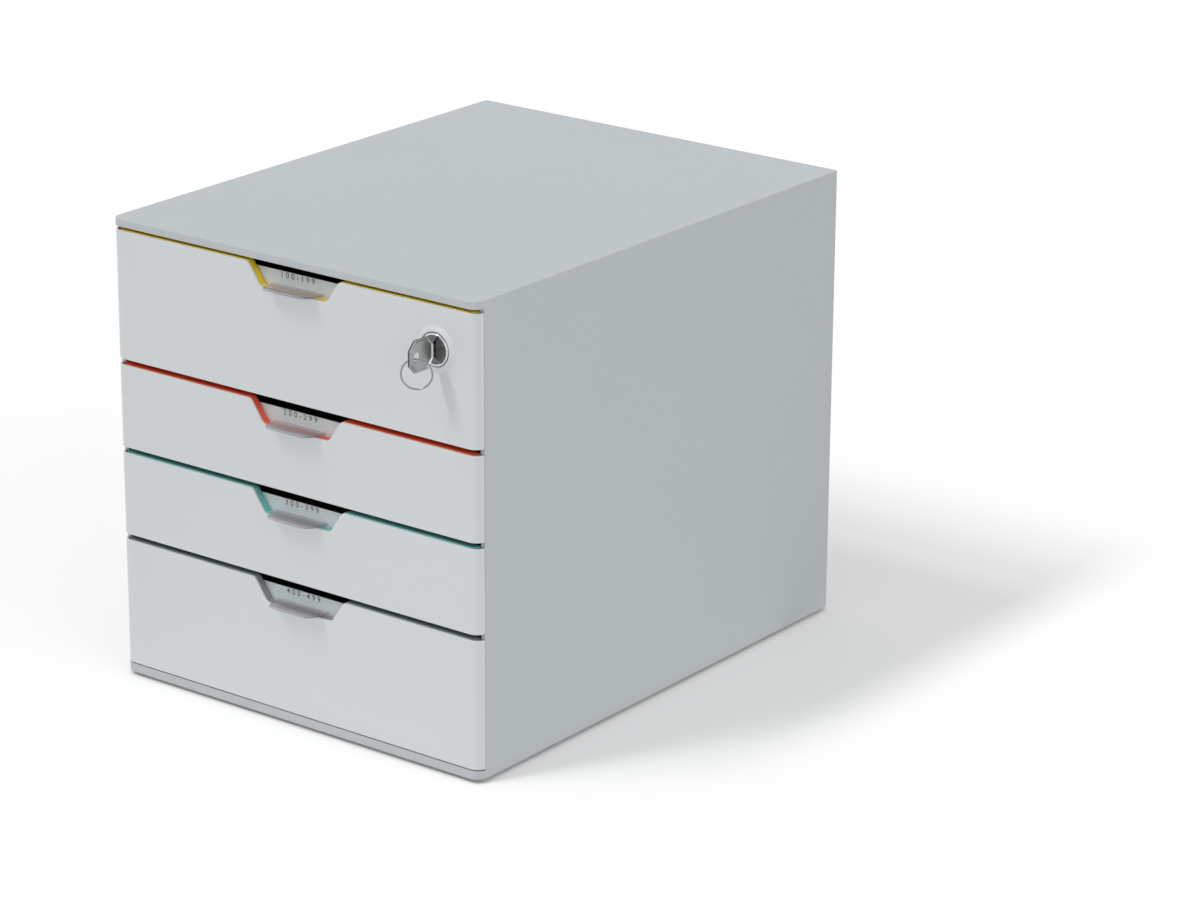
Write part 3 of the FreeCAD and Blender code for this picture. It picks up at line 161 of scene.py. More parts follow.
def unit(vectors):
    """Each row of an array, made one long."""
    return vectors / np.maximum(np.hypot(vectors[:, 0], vectors[:, 1]), 1e-9)[:, None]


def inset(outline, amount):
    """A closed outline moved inwards by an amount. Each point moves along the mean of its two
    sides' normals, stretched by 1 / cos(half the turn), so that the sides stay parallel."""
    following = np.roll(outline, -1, 0)
    area = np.sum(outline[:, 0] * following[:, 1] - following[:, 0] * outline[:, 1])
    side = unit(following - outline)
    after = np.stack([-side[:, 1], side[:, 0]], -1) * np.sign(area)
    before = np.roll(after, 1, 0)
    middle = unit(before + after)
    stretch = 1 / np.maximum(np.sum(middle * before, 1), LEAST_SPREAD)
    return outline + middle * (stretch * amount)[:, None]


def plate(outline, thickness, bevel, lay):
    """A flat plate with bevelled rims. lay(a, b, depth) puts its flat coordinates in place."""
    rims = [(bevel, 0), (0, bevel), (0, thickness - bevel), (bevel, thickness)]
    return loft(np.stack([lay(*inset(outline, amount).T, depth) for amount, depth in rims]))


print("helpers ready:", [f.__name__ for f in (rounded, inset, plate)])

# %% [markdown]
# ## Finishes
#
# A finish is a small tree of nodes round one Principled shader. The colour is given as it is
# read from a colour chart, in 0 to 255 steps, and turned into the linear light that the shader
# needs. All patterns use Object coordinates, because every piece keeps its place in its mesh,
# so the grain has the same size everywhere and stays put when a drawer slides.
#
# One helper adds a node to any tree. The class on top of it gives short names to the steps that
# every finish repeats: a noise, a ramp, a mix of two colours, a bump.

# %% Node helpers
# A Mix node has a set of sockets for each kind of data. These are the numbers of the colour ones.
COLOUR_A, COLOUR_B, COLOUR_OUT = 6, 7, 2
# Most of a noise lies between these two values.
NOISE_LOW, NOISE_HIGH = 0.3, 0.7


def linear(red, green, blue):
    """Chart steps to linear light: (c + 0.055) / 1.055 to the power 2.4, and c / 12.92 for the
    darkest steps, with c = step / 255."""
    c = np.array([red, green, blue]) / 255
    return [*np.where(c > 0.04045, ((c + 0.055) / 1.055) ** 2.4, c / 12.92).tolist(), 1.0]


def add_node(tree, kind, inputs=(), **settings):
    """A node with its settings. Each input is linked to another node's socket, or holds a
    plain value."""
    node = tree.nodes.new(kind)
    for key, value in settings.items():
        setattr(node, key, value)
    for target, source in dict(inputs).items():
        if isinstance(source, bpy.types.NodeSocket):
            tree.links.new(source, node.inputs[target])
        else:
            node.inputs[target].default_value = source
    return node


print("white is", [round(v, 3) for v in linear(255, 255, 255)])


# %% The Finish class
class Finish:
    """A material with one Principled shader, and short ways to add nodes to it."""

    def __init__(self, name, colour, roughness, **sockets):
        self.material = bpy.data.materials.new(name)
        self.material.use_nodes = True
        self.tree = self.material.node_tree
        self.shader = self.tree.nodes["Principled BSDF"]
        self.out = self.tree.nodes["Material Output"]
        self.colour = linear(*colour)
        self.shader.inputs["Base Color"].default_value = self.colour
        self.shader.inputs["Roughness"].default_value = roughness
        for socket, value in sockets.items():
            self.shader.inputs[socket.replace("_", " ")].default_value = value
        spots = self.add("ShaderNodeTexCoord").outputs
        self.place, self.facing = spots["Object"], spots["Normal"]

    def add(self, kind, inputs=(), **settings):
        """A node in this finish's own tree."""
        return add_node(self.tree, kind, inputs, **settings)

    def feed(self, source, socket):
        """Link a source into one of the Principled shader's inputs."""
        self.tree.links.new(source, self.shader.inputs[socket])

    def part(self, vector, axis):
        """One coordinate of a vector: 0 for x, 1 for y, 2 for z."""
        return self.add("ShaderNodeSeparateXYZ", {0: vector}).outputs[axis]

    def maths(self, operation, *values):
        """The result of a maths operation on sockets or numbers."""
        return self.add("ShaderNodeMath", enumerate(values), operation=operation).outputs[0]

    def ramp(self, source, start, end, low=0.0, high=1.0):
        """From low to high as the source goes from start to end, and level beyond them."""
        ends = {"From Min": start, "From Max": end, "To Min": low, "To Max": high}
        return self.add("ShaderNodeMapRange", {"Value": source, **ends}).outputs[0]

    def mix(self, share, low, high, blend="MIX"):
        """From the colour low to the colour high, or to their product, by a share."""
        sockets = {0: share, COLOUR_A: low, COLOUR_B: high}
        made = self.add("ShaderNodeMix", sockets, data_type="RGBA", blend_type=blend)
        return made.outputs[COLOUR_OUT]

    def noise(self, size_mm, stretch=(1, 1, 1), detail=2.0):
        """Noise whose lumps are about size_mm across, drawn out along an axis by a stretch."""
        scale = [1 / s for s in stretch]
        spot = self.add("ShaderNodeMapping", {"Vector": self.place, "Scale": scale}).outputs[0]
        sockets = {"Vector": spot, "Scale": 1 / MM / size_mm, "Detail": detail}
        return self.add("ShaderNodeTexNoise", sockets).outputs[0]

    def vary_colour(self, source, low, high):
        """Base colour between low and high times itself, as the source goes from 0 to 1."""
        ends = [[*(min(1, c * share) for c in self.colour[:3]), 1] for share in (low, high)]
        self.feed(self.mix(source, *ends), "Base Color")

    def vary_roughness(self, source, low, high):
        """Roughness between low and high, over the usual range of a noise."""
        self.feed(self.ramp(source, NOISE_LOW, NOISE_HIGH, low, high), "Roughness")

    def paint_edge_shade(self, low):
        """Painted shade: base colour times low where the surface does not face along the x axis.
        """
        along = self.maths("ABSOLUTE", self.part(self.facing, 0))
        share = self.ramp(along, 0.3, 0.7, low)
        plain = self.shader.inputs["Base Color"].links[0].from_socket
        self.feed(self.mix(1.0, plain, share, "MULTIPLY"), "Base Color")

    def bump(self, source, height_mm, strength):
        """Small heights from the source, as a bump of that many millimetres."""
        sockets = {"Height": source, "Strength": strength, "Distance": height_mm * MM}
        self.feed(self.add("ShaderNodeBump", sockets).outputs[0], "Normal")


print("steps of a finish:", [name for name in vars(Finish) if not name.startswith("_")])

# %% [markdown]
# ### Moulded plastics
#
# The sleeve, the trays and the fronts are injection moulded. Up close such a part has a fine
# spark-eroded grain, which scatters the highlight, and its colour drifts by a percent or so
# from thick to thin places. A picture of a grained surface would do, but it needs unwrapping and
# repeats. A bump of a few microns and a slow noise look the same on every piece and never repeat.

# %% Plastic finishes
PLASTIC_IOR = 1.5
GRAIN_STRENGTH = 0.6
PATCH_MM, PATCH_CHANGE = 2.2, 0.05
DRIFT_MM = 70
FINE = {"grain_mm": 0.3, "grain_height": 0.004}


def plastic(name, colour, roughness, grain_mm=0.35, grain_height=0.006, drift=0.012):
    """Moulded plastic: fine grain as bump, patches of roughness and a slow colour drift."""
    made = Finish(name, colour, roughness, IOR=PLASTIC_IOR)
    made.bump(made.noise(grain_mm, detail=1.0), grain_height, GRAIN_STRENGTH)
    made.vary_roughness(made.noise(PATCH_MM), roughness - PATCH_CHANGE, roughness + PATCH_CHANGE)
    made.vary_colour(made.noise(DRIFT_MM, detail=3.0), 1 - drift, 1 + drift)
    return made.material


sleeve_plastic = plastic("sleeve plastic", (183, 189, 193), 0.55)
front_plastic = plastic("front plastic", (208, 212, 215), 0.38, drift=0.008, **FINE)
tray_plastic = plastic("tray plastic", (178, 184, 188), 0.4)
runner_plastic = plastic("runner plastic", (120, 124, 128), 0.5)
frame_finishes = [
    plastic("yellow plastic", (236, 204, 40), 0.35, **FINE),
    plastic("coral plastic", (232, 92, 66), 0.35, **FINE),
    plastic("turquoise plastic", (104, 194, 186), 0.35, **FINE),
    plastic("grey plastic", (140, 142, 145), 0.38, **FINE),
]
foot_rubber = plastic("foot rubber", (52, 54, 56), 0.8, 0.5, 0.02, 0.04)
print("plastics:", len([m for m in bpy.data.materials if "plastic" in m.name]))

# %% [markdown]
# ### Metals
#
# Bright parts differ mostly in how they were finished. Chrome is smooth with a few hair
# scratches, the key is stamped from strip and brushed along its length, and the lock's face is
# dark and polished. Brushing could be a picture laid over each piece, but every piece would have
# to be unwrapped for it. One function makes all the metals from a noise drawn out along the
# brushing. A stamped edge is torn rather than cut, and the key's narrow sides get painted shade:
# their base colour is darker wherever the surface does not face along x.

# %% Metal finishes
STROKE_HEIGHT, STROKE_STRENGTH = 0.002, 0.5
STROKE_ROUGHNESS = (0.75, 1.35)
STAIN_MM, STAIN_RANGE = 9, (0.94, 1.04)


def metal(name, colour, roughness, stretch, stroke_mm, edge_shade=None):
    """Bare metal: noise drawn out along the brushing, in the roughness and as a faint bump."""
    made = Finish(name, colour, roughness, Metallic=1.0)
    strokes = made.noise(stroke_mm, stretch)
    made.vary_roughness(strokes, *(roughness * share for share in STROKE_ROUGHNESS))
    made.bump(strokes, STROKE_HEIGHT, STROKE_STRENGTH)
    made.vary_colour(made.noise(STAIN_MM, detail=3.0), *STAIN_RANGE)
    # Painted shade on the sides that do not face along x, such as the key's narrow sides.
    if edge_shade is not None:
        made.paint_edge_shade(edge_shade)
    return made.material


lock_chrome = metal("lock chrome", (205, 207, 210), 0.12, (6, 6, 6), 0.5)
lock_face = metal("lock face", (104, 104, 106), 0.16, (1, 1, 30), 0.12)
key_steel = metal("key steel", (192, 192, 191), 0.27, (1, 40, 1), 0.12, edge_shade=0.18)
ring_steel = metal("ring steel", (140, 142, 146), 0.2, (3, 3, 3), 0.4)
zinc_steel = metal("zinc steel", (150, 152, 156), 0.38, (20, 1, 1), 0.15)
print("metals:", [m.name for m in (lock_chrome, lock_face, key_steel, ring_steel, zinc_steel)])

# %% [markdown]
# ### Card and ink
#
# The labels are thin card with a printed number. Card is rough and very slightly fibrous, and
# print is a thin dark film that never lies quite evenly. Both are plain finishes with a weak
# noise, because nothing on them is large enough to ask for more.

# %% Card and ink finishes
card = Finish("card", (222, 228, 231), 0.7)
card.bump(card.noise(0.15, detail=3.0), 0.004, 0.5)
card.vary_colour(card.noise(0.5, (3, 1, 1), 3.0), 0.985, 1.01)
label_card = card.material

ink = Finish("ink", (40, 42, 46), 0.6)
ink.vary_colour(ink.noise(0.25), 0.85, 1.15)
card_ink = ink.material
print("paper finishes:", label_card.name, "and", card_ink.name)

# %% [markdown]
# ### Clear plastic
#
# The grip is one clear moulding: a thin window over the card and a thicker ledge. Real glass
# shading would bend every ray, and the card behind it would turn noisy and dark. Here the
# plastic is a tinted see-through shader under a clear gloss. The gloss grows towards the edges,
# as every coat's does, with the fourth power of how far the surface turns away. The tint is
# almost none on the window. The ledge's is deeper, and that depth is painted shade: a darker
# see-through colour behind its front rim, and most of all where it faces down. Rays that
# only carry light skip the gloss and lose a plain share of their strength.

# %% Clear finish
# Depths along y in metres: where the window starts, and where the ledge's front rim ends.
WINDOW_START, RIM_END = (-0.1618, -0.1612), (-0.1755, -0.1735)
# The ledge's see-through colour where it faces down, which is painted shade, and on its upper
# side.
UNDERSIDE_SHADE, UPPER_SIDE = (0.66, 0.615, 0.635, 1), (0.97, 0.95, 0.96, 1)
# Painted shade that darkens the ledge behind its front rim, and the window's own light tint.
BEHIND_RIM_SHADE, WINDOW_TINT = (0.76, 0.70, 0.72, 1), (0.965, 0.975, 0.98, 1)
GLOSS_POWER, GLOSS_ENDS = 4.0, (0.06, 0.75)
LIGHT_THROUGH = (0.76, 0.98)

clear = Finish("clear holder", (214, 216, 218), 0.1, IOR=1.46)
clear.bump(clear.noise(14, detail=1.0), 0.02, 0.35)
rays = clear.add("ShaderNodeLightPath").outputs
light_ray = clear.maths("MAXIMUM", rays["Is Shadow Ray"], rays["Is Diffuse Ray"])
seen_ray = clear.maths("SUBTRACT", 1.0, light_ray)

edge_on = clear.add("ShaderNodeLayerWeight").outputs["Facing"]
gloss = clear.ramp(clear.maths("POWER", edge_on, GLOSS_POWER), 0.0, 1.0, *GLOSS_ENDS)
cover = clear.maths("MULTIPLY", gloss, seen_ray)

depth = clear.part(clear.place, 1)
window = clear.ramp(depth, *WINDOW_START)
# Painted shade: the ledge's see-through colour darkens where it faces down and behind its rim.
away_from_under_shade = clear.ramp(clear.part(clear.facing, 2), -0.5, -0.1)
ledge_tint_and_shade = clear.mix(away_from_under_shade, UNDERSIDE_SHADE, UPPER_SIDE)
rim_tint_and_shade = clear.mix(clear.ramp(depth, *RIM_END), ledge_tint_and_shade, BEHIND_RIM_SHADE, "MULTIPLY")
seen_tint_and_shade = clear.mix(window, rim_tint_and_shade, WINDOW_TINT)
light_tint = clear.ramp(window, 0.0, 1.0, *LIGHT_THROUGH)
tint_and_shade = clear.mix(light_ray, seen_tint_and_shade, light_tint)

see_through = clear.add("ShaderNodeBsdfTransparent", {"Color": tint_and_shade}).outputs[0]
layers = {0: cover, 1: see_through, 2: clear.shader.outputs[0]}
passing = clear.add("ShaderNodeMixShader", layers).outputs[0]
clear.tree.links.new(passing, clear.out.inputs["Surface"])
clear_holder = clear.material
print("finishes:", sorted(m.name for m in bpy.data.materials))

# %% [markdown]
# ## Keep the parts that are already right
#
# The sleeve, the trays, the coloured frames, the runners and the hidden steel parts have their
# final shape, so they stay and only get a finish. Their meshes are loose triangles, which shade
# as facets. Nothing in the mesh may change, so two modifiers do the smoothing: one joins equal
# corners and marks every edge under 30 degrees as smooth, and one weighs the normals by face
# area, which keeps the large faces flat.

# %% Smoothing without touching the mesh
SMOOTH_UNDER = math.radians(30)


def smooth_by_angle(limit):
    """A geometry node tree: merge doubles, shade smooth, and keep edges over the limit sharp."""
    tree = bpy.data.node_groups.new("smooth by angle", "GeometryNodeTree")
    for end in ("INPUT", "OUTPUT"):
        tree.interface.new_socket("Geometry", in_out=end, socket_type="NodeSocketGeometry")
    given = add_node(tree, "NodeGroupInput").outputs[0]
    merge = {"Geometry": given, "Distance": SAME_POINT}
    merged = add_node(tree, "GeometryNodeMergeByDistance", merge).outputs[0]
    angle = add_node(tree, "GeometryNodeInputMeshEdgeAngle").outputs[0]
    compare = add_node(tree, "FunctionNodeCompare", {0: angle, 1: limit}, operation="LESS_THAN")
    faces = add_node(tree, "GeometryNodeSetShadeSmooth", {"Geometry": merged}).outputs[0]
    smooth = {"Geometry": faces, "Shade Smooth": compare.outputs[0]}
    edges = add_node(tree, "GeometryNodeSetShadeSmooth", smooth, domain="EDGE").outputs[0]
    add_node(tree, "NodeGroupOutput", {0: edges})
    return tree


smooth_tree = smooth_by_angle(SMOOTH_UNDER)
print("smoothing nodes:", len(smooth_tree.nodes))


# %% Dress the solid parts
def dress(node, finish):
    """Give a solid part its finish and smooth shading."""
    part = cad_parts[node]
    part.data.materials.clear()
    part.data.materials.append(finish)
    smooth = part.modifiers.new("smooth by angle", "NODES")
    smooth.node_group = smooth_tree
    weigh = part.modifiers.new("weigh normals", "WEIGHTED_NORMAL")
    weigh.keep_sharp = True


finish_of = {
    "housing_shell": sleeve_plastic, "back_panel": sleeve_plastic, "lock_strike": sleeve_plastic,
    "runner_left": runner_plastic, "runner_right": runner_plastic, "rubber_feet": foot_rubber,
    "lock_nut": zinc_steel, "lock_cam": zinc_steel, "cam_screw": zinc_steel,
}
for number, finish in enumerate(frame_finishes, start=1):
    finish_of[f"drawer_{number}_tray"] = tray_plastic
    finish_of[f"drawer_{number}_frame"] = finish
for node, finish in finish_of.items():
    dress(node, finish)
print("dressed:", len(finish_of), "solid parts")

# %% [markdown]
# ## The front skins
#
# Each drawer has a thin light skin that wraps round both vertical corners and is cut out for
# the grip. It could be a block with a boolean cut and a bevel, but booleans leave messy edges.
# Here it is one loft: a small closed section, as tall as the front at that place, is carried
# along the line round the box. Where the line passes the notch the section gets shorter.

# %% Measure the fronts
def span(node):
    """Lowest and highest corner of a solid part, in millimetres."""
    low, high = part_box(node)
    return np.array(low) / MM, np.array(high) / MM


front_low, front_high = span("drawer_2_front")
front_y, half_width = front_low[1], front_high[0]
tops = [span(f"drawer_{n}_frame")[1][2] for n in (1, 2, 3, 4)]
heights = [top - span(f"drawer_{n}_front")[0][2] for n, top in enumerate(tops, start=1)]
print("front plane", round(front_y, 1), "tops", np.round(tops, 1), "heights", np.round(heights, 1))

# %% Outlines in the front
# The corner's radius, the skin's thickness, how far it wraps back along the side, and how much of
# the coloured frame shows above it.
CORNER, SKIN, RETURN, REVEAL = 7.0, 1.3, 5.75, 0.4
FLAT = half_width - CORNER
TURN = math.acos((CORNER - RETURN) / CORNER)
# Middle of the notch, to the right of the front's middle.
NOTCH_X = 3.2


def trapezoid(top, bottom, top_round, bottom_round):
    """An outline that is wider at its top, as corners (x, z, radius). Its top and bottom are
    given as (half width, z), with z measured from the top of the drawer."""
    (wide, high), (narrow, low) = top, bottom
    return [(NOTCH_X - wide, high, top_round), (NOTCH_X - narrow, low, bottom_round),
            (NOTCH_X + narrow, low, bottom_round), (NOTCH_X + wide, high, top_round)]


notch = trapezoid((34.73, -REVEAL), (25.25, -14.3), 4, 4.5)
print("notch from", round(notch[0][0], 2), "to", round(notch[-1][0], 2))


# %% Build the skins
# The section's flat land at its outer edge, the rounding of that edge, and the bevel inside.
LAND, EDGE_ROUND, INNER_BEVEL = 0.95, 0.3, 0.15
# The line over the notch starts this far inside the corners.
LINE_INSET = 0.4


def round_the_box(s, depth):
    """Place on the front for a run s from the middle and a depth under the surface: straight on
    the flat, and on the corner x = FLAT + (R - depth) sin(a), y = R - (R - depth) cos(a)."""
    beyond = np.maximum(np.abs(s) - FLAT, 0) / (CORNER * TURN)
    angle = beyond * np.arccos((CORNER - RETURN) / (CORNER - depth))
    x = np.sign(s) * (np.minimum(np.abs(s), FLAT) + (CORNER - depth) * np.sin(angle))
    return x, CORNER - (CORNER - depth) * np.cos(angle)


def skin(number, top, height):
    """The skin: sections (inset, depth) round a rim, run between the bottom line and the top
    line. The top line is the notch's outline, and insets are measured square to it."""
    start = FLAT - LINE_INSET
    over_notch = rounded([(-start, -REVEAL, 0), *notch, (start, -REVEAL, 0)])
    side = FLAT + CORNER * TURN * np.linspace(0, 1, 11)
    level = np.full(len(side), -REVEAL)
    line = np.vstack([np.stack([-side[::-1], level], -1), over_notch, np.stack([side, level], -1)])
    along = np.gradient(line, axis=0)
    out = np.stack([-along[:, 1], along[:, 0]], -1) / np.hypot(*along.T)[:, None]
    turn = np.linspace(0, math.pi / 2, 5)
    rim = np.vstack([
        [[LAND, 0]],
        EDGE_ROUND * np.stack([1 - np.sin(turn), 1 - np.cos(turn)], -1),
        [[0, SKIN - INNER_BEVEL], [INNER_BEVEL, SKIN]],
    ])
    rings = []
    for place, (amount, depth) in enumerate(np.vstack([rim, rim[::-1]])):
        if place < len(rim):
            s, z = (line - amount * out).T
        else:
            s, z = line[:, 0], np.full(len(line), amount - height)
        x, y = round_the_box(s, depth)
        rings.append(np.stack([x, front_y + y, top + z], -1))
    piece(f"skin_{number}", [loft(np.stack(rings, 1))], front_plastic,
          f"drawer_{number}", [f"drawer_{number}_front"])


for number, (top, height) in enumerate(zip(tops, heights), start=1):
    skin(number, top, height)

# %% [markdown]
# ## Clear holders
#
# The holder is clear plastic in two forms: an upright window in front of the card, which is a
# plate cut to the notch, and a ledge for the fingers. A bevelled box bent by hand would give the
# ledge its look but not its measures. Here it is a loft from back to front: each section is a
# flat bar with round ends, so three lines make the whole form, the half width, the upper side
# and the lower side, all as functions of the depth y. The upper side rises to a rim in front.

# %% Window and ledge
# All depths are measured from the front plane, and a negative one stands out of it. The ledge
# runs from its root to its tip, with round corners, and its ends are rounded too.
LEDGE_ROOT, LEDGE_TIP, LEDGE_CORNER, LEDGE_END = 5.2, -11, 5, 0.5
# Half the ledge's width at a depth, and how much it loses over a run.
WIDE_AT, HALF_WIDE, WIDE_LOSS, WIDE_RUN = 5.5, 19.97, 4.1, 16.5
# The rounding of the front edge: its height, its length and where it starts.
NOSE_HEIGHT, NOSE_LENGTH, NOSE_START = 0.55, 0.56, -10.45
# The upper and the lower side as (depth, z), with z from the top of the drawer.
UPPER = np.array([(LEDGE_TIP, -9.8), (-9.6, -9.8), (-8.7, -11.0), (0, -11.6)])
LOWER = np.array([(LEDGE_TIP, -11.8), (0, -13.0)])
WINDOW_DEPTH, WINDOW_THICK, WINDOW_BEVEL = 5, 1.5, 0.1


def ledge():
    """Sections of the ledge. At a distance t from its tip the half width has lost
    R - sqrt(R^2 - (R - t)^2) to a corner of radius R, besides its even taper."""
    corner_run = LEDGE_TIP + LEDGE_CORNER * (1 - np.sin(np.linspace(0, math.pi / 2, 25)))
    depth = np.concatenate([[LEDGE_ROOT, 3, 0, -2, -4], corner_run])
    corner = LEDGE_CORNER - np.clip(depth - LEDGE_TIP, 0, LEDGE_CORNER)
    wide = HALF_WIDE - WIDE_LOSS * (WIDE_AT - depth) / WIDE_RUN
    wide -= LEDGE_CORNER - np.sqrt(LEDGE_CORNER ** 2 - corner ** 2)
    past_nose = np.clip((NOSE_START - depth) / NOSE_LENGTH, 0, 1)
    nose = NOSE_HEIGHT * (1 - np.sqrt(1 - past_nose ** 2))
    upper = np.interp(depth, *UPPER.T) - nose
    lower = np.interp(depth, *LOWER.T) + nose
    turn = np.linspace(-math.pi / 2, math.pi / 2, 7)
    cap = np.stack([LEDGE_END * np.cos(turn), np.sin(turn)], -1)
    side = np.vstack([cap, -cap])
    ends = np.repeat([1.0, -1.0], len(turn))
    x = NOTCH_X + ends * (wide[:, None] - LEDGE_END) + side[:, 0]
    z = ((upper + lower) + (upper - lower) * side[:, 1:]).T / 2
    return np.stack([x, depth[:, None] + 0 * x, z], -1)


def upright(outline, start, thickness, bevel, top):
    """A plate that stands parallel to the fronts and starts at a depth behind them."""
    def lay(x, z, depth):
        return np.stack([x, front_y + start + depth + 0 * x, top + z], -1)
    return plate(outline, thickness, bevel, lay)


def holder(number, top):
    """Window and ledge of one drawer."""
    outline = rounded(trapezoid((32.2, -3.8), (25.15, -13.7), 0.4, 3))
    pane = upright(outline, WINDOW_DEPTH, WINDOW_THICK, WINDOW_BEVEL, top)
    piece(f"holder_{number}", [pane, loft(ledge() + [0, front_y, top])], clear_holder,
          f"drawer_{number}", [f"drawer_{number}_grip"], sharp=60)


print("ledge:", len(ledge()), "sections")

# %% [markdown]
# ## Cards and numbers
#
# Behind each window sits a card that is a little larger than the window, with a range of plain
# numbers in small, widely spaced print. The print could be a picture on the card, but a picture
# blurs up close. A text object turned into a mesh stays crisp and takes the ink's own finish. It
# is moved into place as an array, so that the object itself stays at the origin.

# %% Cards
CARD_DEPTH, CARD_THICK, CARD_BEVEL = 6.63, 0.28, 0.05


def label(number, top):
    """A card cut to the window's shape."""
    outline = rounded(trapezoid((34.1, -4), (26.1, -15.7), 0.4, 0.4))
    shell = upright(outline, CARD_DEPTH, CARD_THICK, CARD_BEVEL, top)
    piece(f"card_{number}", [shell], label_card,
          f"drawer_{number}", [f"drawer_{number}_label"])


print("cards:", CARD_THICK, "mm thick")

# %% Numbers
# The print's height, its spacing, how far it stands out and how much bolder its strokes are.
TEXT_SIZE, TEXT_SPACING, TEXT_LIFT, TEXT_BOLDER = 5.0, 1.65, 0.02, 0.03
# Its middle, its depth, and its foot below the top of the drawer.
TEXT_X, TEXT_DEPTH, TEXT_DROP = 1.3, 6.6, 7.8


def text_mesh(name, words):
    """A line of text as a mesh that lies flat, with its middle at x = 0."""
    curve = bpy.data.curves.new(name, "FONT")
    curve.body, curve.align_x = words, "CENTER"
    curve.size, curve.space_character = TEXT_SIZE, TEXT_SPACING
    curve.extrude, curve.offset = TEXT_LIFT, TEXT_BOLDER
    text = bpy.data.objects.new(f"{name}_text", curve)
    bpy.context.scene.collection.objects.link(text)
    bpy.context.view_layer.update()
    mesh = bpy.data.meshes.new_from_object(text)
    bpy.data.objects.remove(text)
    return mesh


def print_number(number, top):
    """The range of numbers on a drawer's card, stood upright in front of it."""
    name = f"number_{number}"
    mesh = text_mesh(name, f"{number}00-{number}99")
    flat = np.zeros(len(mesh.vertices) * 3)
    mesh.vertices.foreach_get("co", flat)
    x, z, lift = flat.reshape(-1, 3).T
    spots = np.stack([x + TEXT_X, front_y + TEXT_DEPTH - lift, z + top - TEXT_DROP], -1) * MM
    mesh.vertices.foreach_set("co", spots.ravel())
    mesh.update()
    mesh.materials.clear()
    mesh.materials.append(card_ink)
    made = bpy.data.objects.new(name, mesh)
    bpy.context.scene.collection.objects.link(made)
    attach(made, f"drawer_{number}")
    print(f"{name}: {len(mesh.polygons)} faces on drawer_{number}")


print("numbers:", TEXT_SIZE, "mm print")

# %% Fill the notches
for number, top in enumerate(tops, start=1):
    holder(number, top)
    label(number, top)
    print_number(number, top)

# %% [markdown]
# ## The lock
#
# The lock is turned metal, so its pieces are profiles spun about one axis: the soft collar of
# the skin, the bright bezel and the barrel. A screw modifier could spin them, but a thread needs
# a profile that changes on the way round: its radius is 8.2 - 0.45 * zigzag(y - angle / 360). The
# barrel's two flats are the same thread cut off level.

# %% Collar and bezel
LOCK_X, LOCK_DROP = 109.8, 25.8
lock_x, lock_z = LOCK_X, tops[0] - LOCK_DROP
# The collar's inner and outer radius, where its flank starts, and half its height.
COLLAR_IN, COLLAR_OUT, FLANK_FROM, HALF_HIGH = 10.45, 14.4, 10.6, 0.8
UNDER_SKIN = 0.9
BORE, SHANK = 6.06, 8.2


def turned(profile, steps=72):
    """A closed profile of (radius, depth) turned about the lock's axis."""
    angle = np.linspace(0, 2 * math.pi, steps, endpoint=False)[:, None]
    radius, depth = np.asarray(profile, float).T
    x, z = lock_x + radius * np.cos(angle), lock_z + radius * np.sin(angle)
    return loft(np.stack([x, front_y + depth + 0 * angle, z], -1), closed=True)


curve = np.linspace(0, 1, 17)
flank_radius = FLANK_FROM + (COLLAR_OUT - FLANK_FROM) * curve
flank_depth = -HALF_HIGH * (1 + np.cos(math.pi * curve))
collar = np.vstack([
    [[COLLAR_IN, UNDER_SKIN], [COLLAR_IN, -1.4], [10.5, -1.55]],
    np.stack([flank_radius, flank_depth], -1),
    [[COLLAR_OUT, UNDER_SKIN]],
])
piece("lock_collar", [turned(collar)], front_plastic, "drawer_1")

bezel = [(BORE, 0), (BORE, -0.84), (8.46, -0.84), (8.46, -1.85), (8.6, -2.04), (8.82, -2.1),
         (9.2, -2.1), (9.55, -1.98), (9.8, -1.68), (9.9, -1.2), (9.9, 0.0), (SHANK, 0.0)]

# %% Barrel with its thread
# The barrel starts a hair behind the bezel, so that the two shells share no face.
BARREL_START, BARREL_LENGTH, FLATS = 0.01, 20, 7.2
THREAD_FROM, THREAD_TO, THREAD_DEPTH, PLAIN_RADIUS = 13, 19.6, 0.45, 8.05

angle = np.linspace(0, 2 * math.pi, 96, endpoint=False)[:, None]
run = np.linspace(0, BARREL_LENGTH, 161)
zigzag = np.abs(2 * ((run - angle / (2 * math.pi)) % 1) - 1)
threaded = (run > THREAD_FROM) & (run < THREAD_TO)
radius = np.where(threaded, SHANK - THREAD_DEPTH * zigzag, PLAIN_RADIUS)
outside = np.stack([
    lock_x + radius * np.cos(angle),
    front_y + BARREL_START + run + 0 * angle,
    lock_z + np.clip(radius * np.sin(angle), -FLATS, FLATS),
], -1)
ends = run[[-1, 0]]
inside = np.stack([
    lock_x + BORE * np.cos(angle) + 0 * ends,
    front_y + BARREL_START + ends + 0 * angle,
    lock_z + BORE * np.sin(angle) + 0 * ends,
], -1)
barrel = loft(np.concatenate([outside, inside], 1), closed=True)
piece("lock_barrel_turned", [turned(bezel, 96), barrel], lock_chrome,
      "drawer_1", ["lock_barrel"])

# %% [markdown]
# ### The plug
#
# The plug is the dark disc that turns inside the bezel. It has a slot for the key in front and a
# square stub for the cam behind. Cutting the slot with a boolean would leave thin triangles on
# the polished face. Its rings blend from the slot's rectangle to circles and on to the square
# instead, with a point in the same direction on each ring.

# %% Plug with its key slot
SLOT_X, SLOT_Z, SLOT_BEVEL, STUB = 1.2, 3.95, 0.2, 3.0


def around(angles, half_x, half_z):
    """Distance from the middle to a rectangle's edge in each direction."""
    return np.minimum(half_x / np.maximum(np.abs(np.cos(angles)), 1e-9),
                      half_z / np.maximum(np.abs(np.sin(angles)), 1e-9))


def directions(corners):
    """Every 5 degrees round a turn, with the directions of some corners among them."""
    every = np.arange(72) * math.pi / 36
    return np.unique(np.round(np.concatenate([every, corners]), 6))


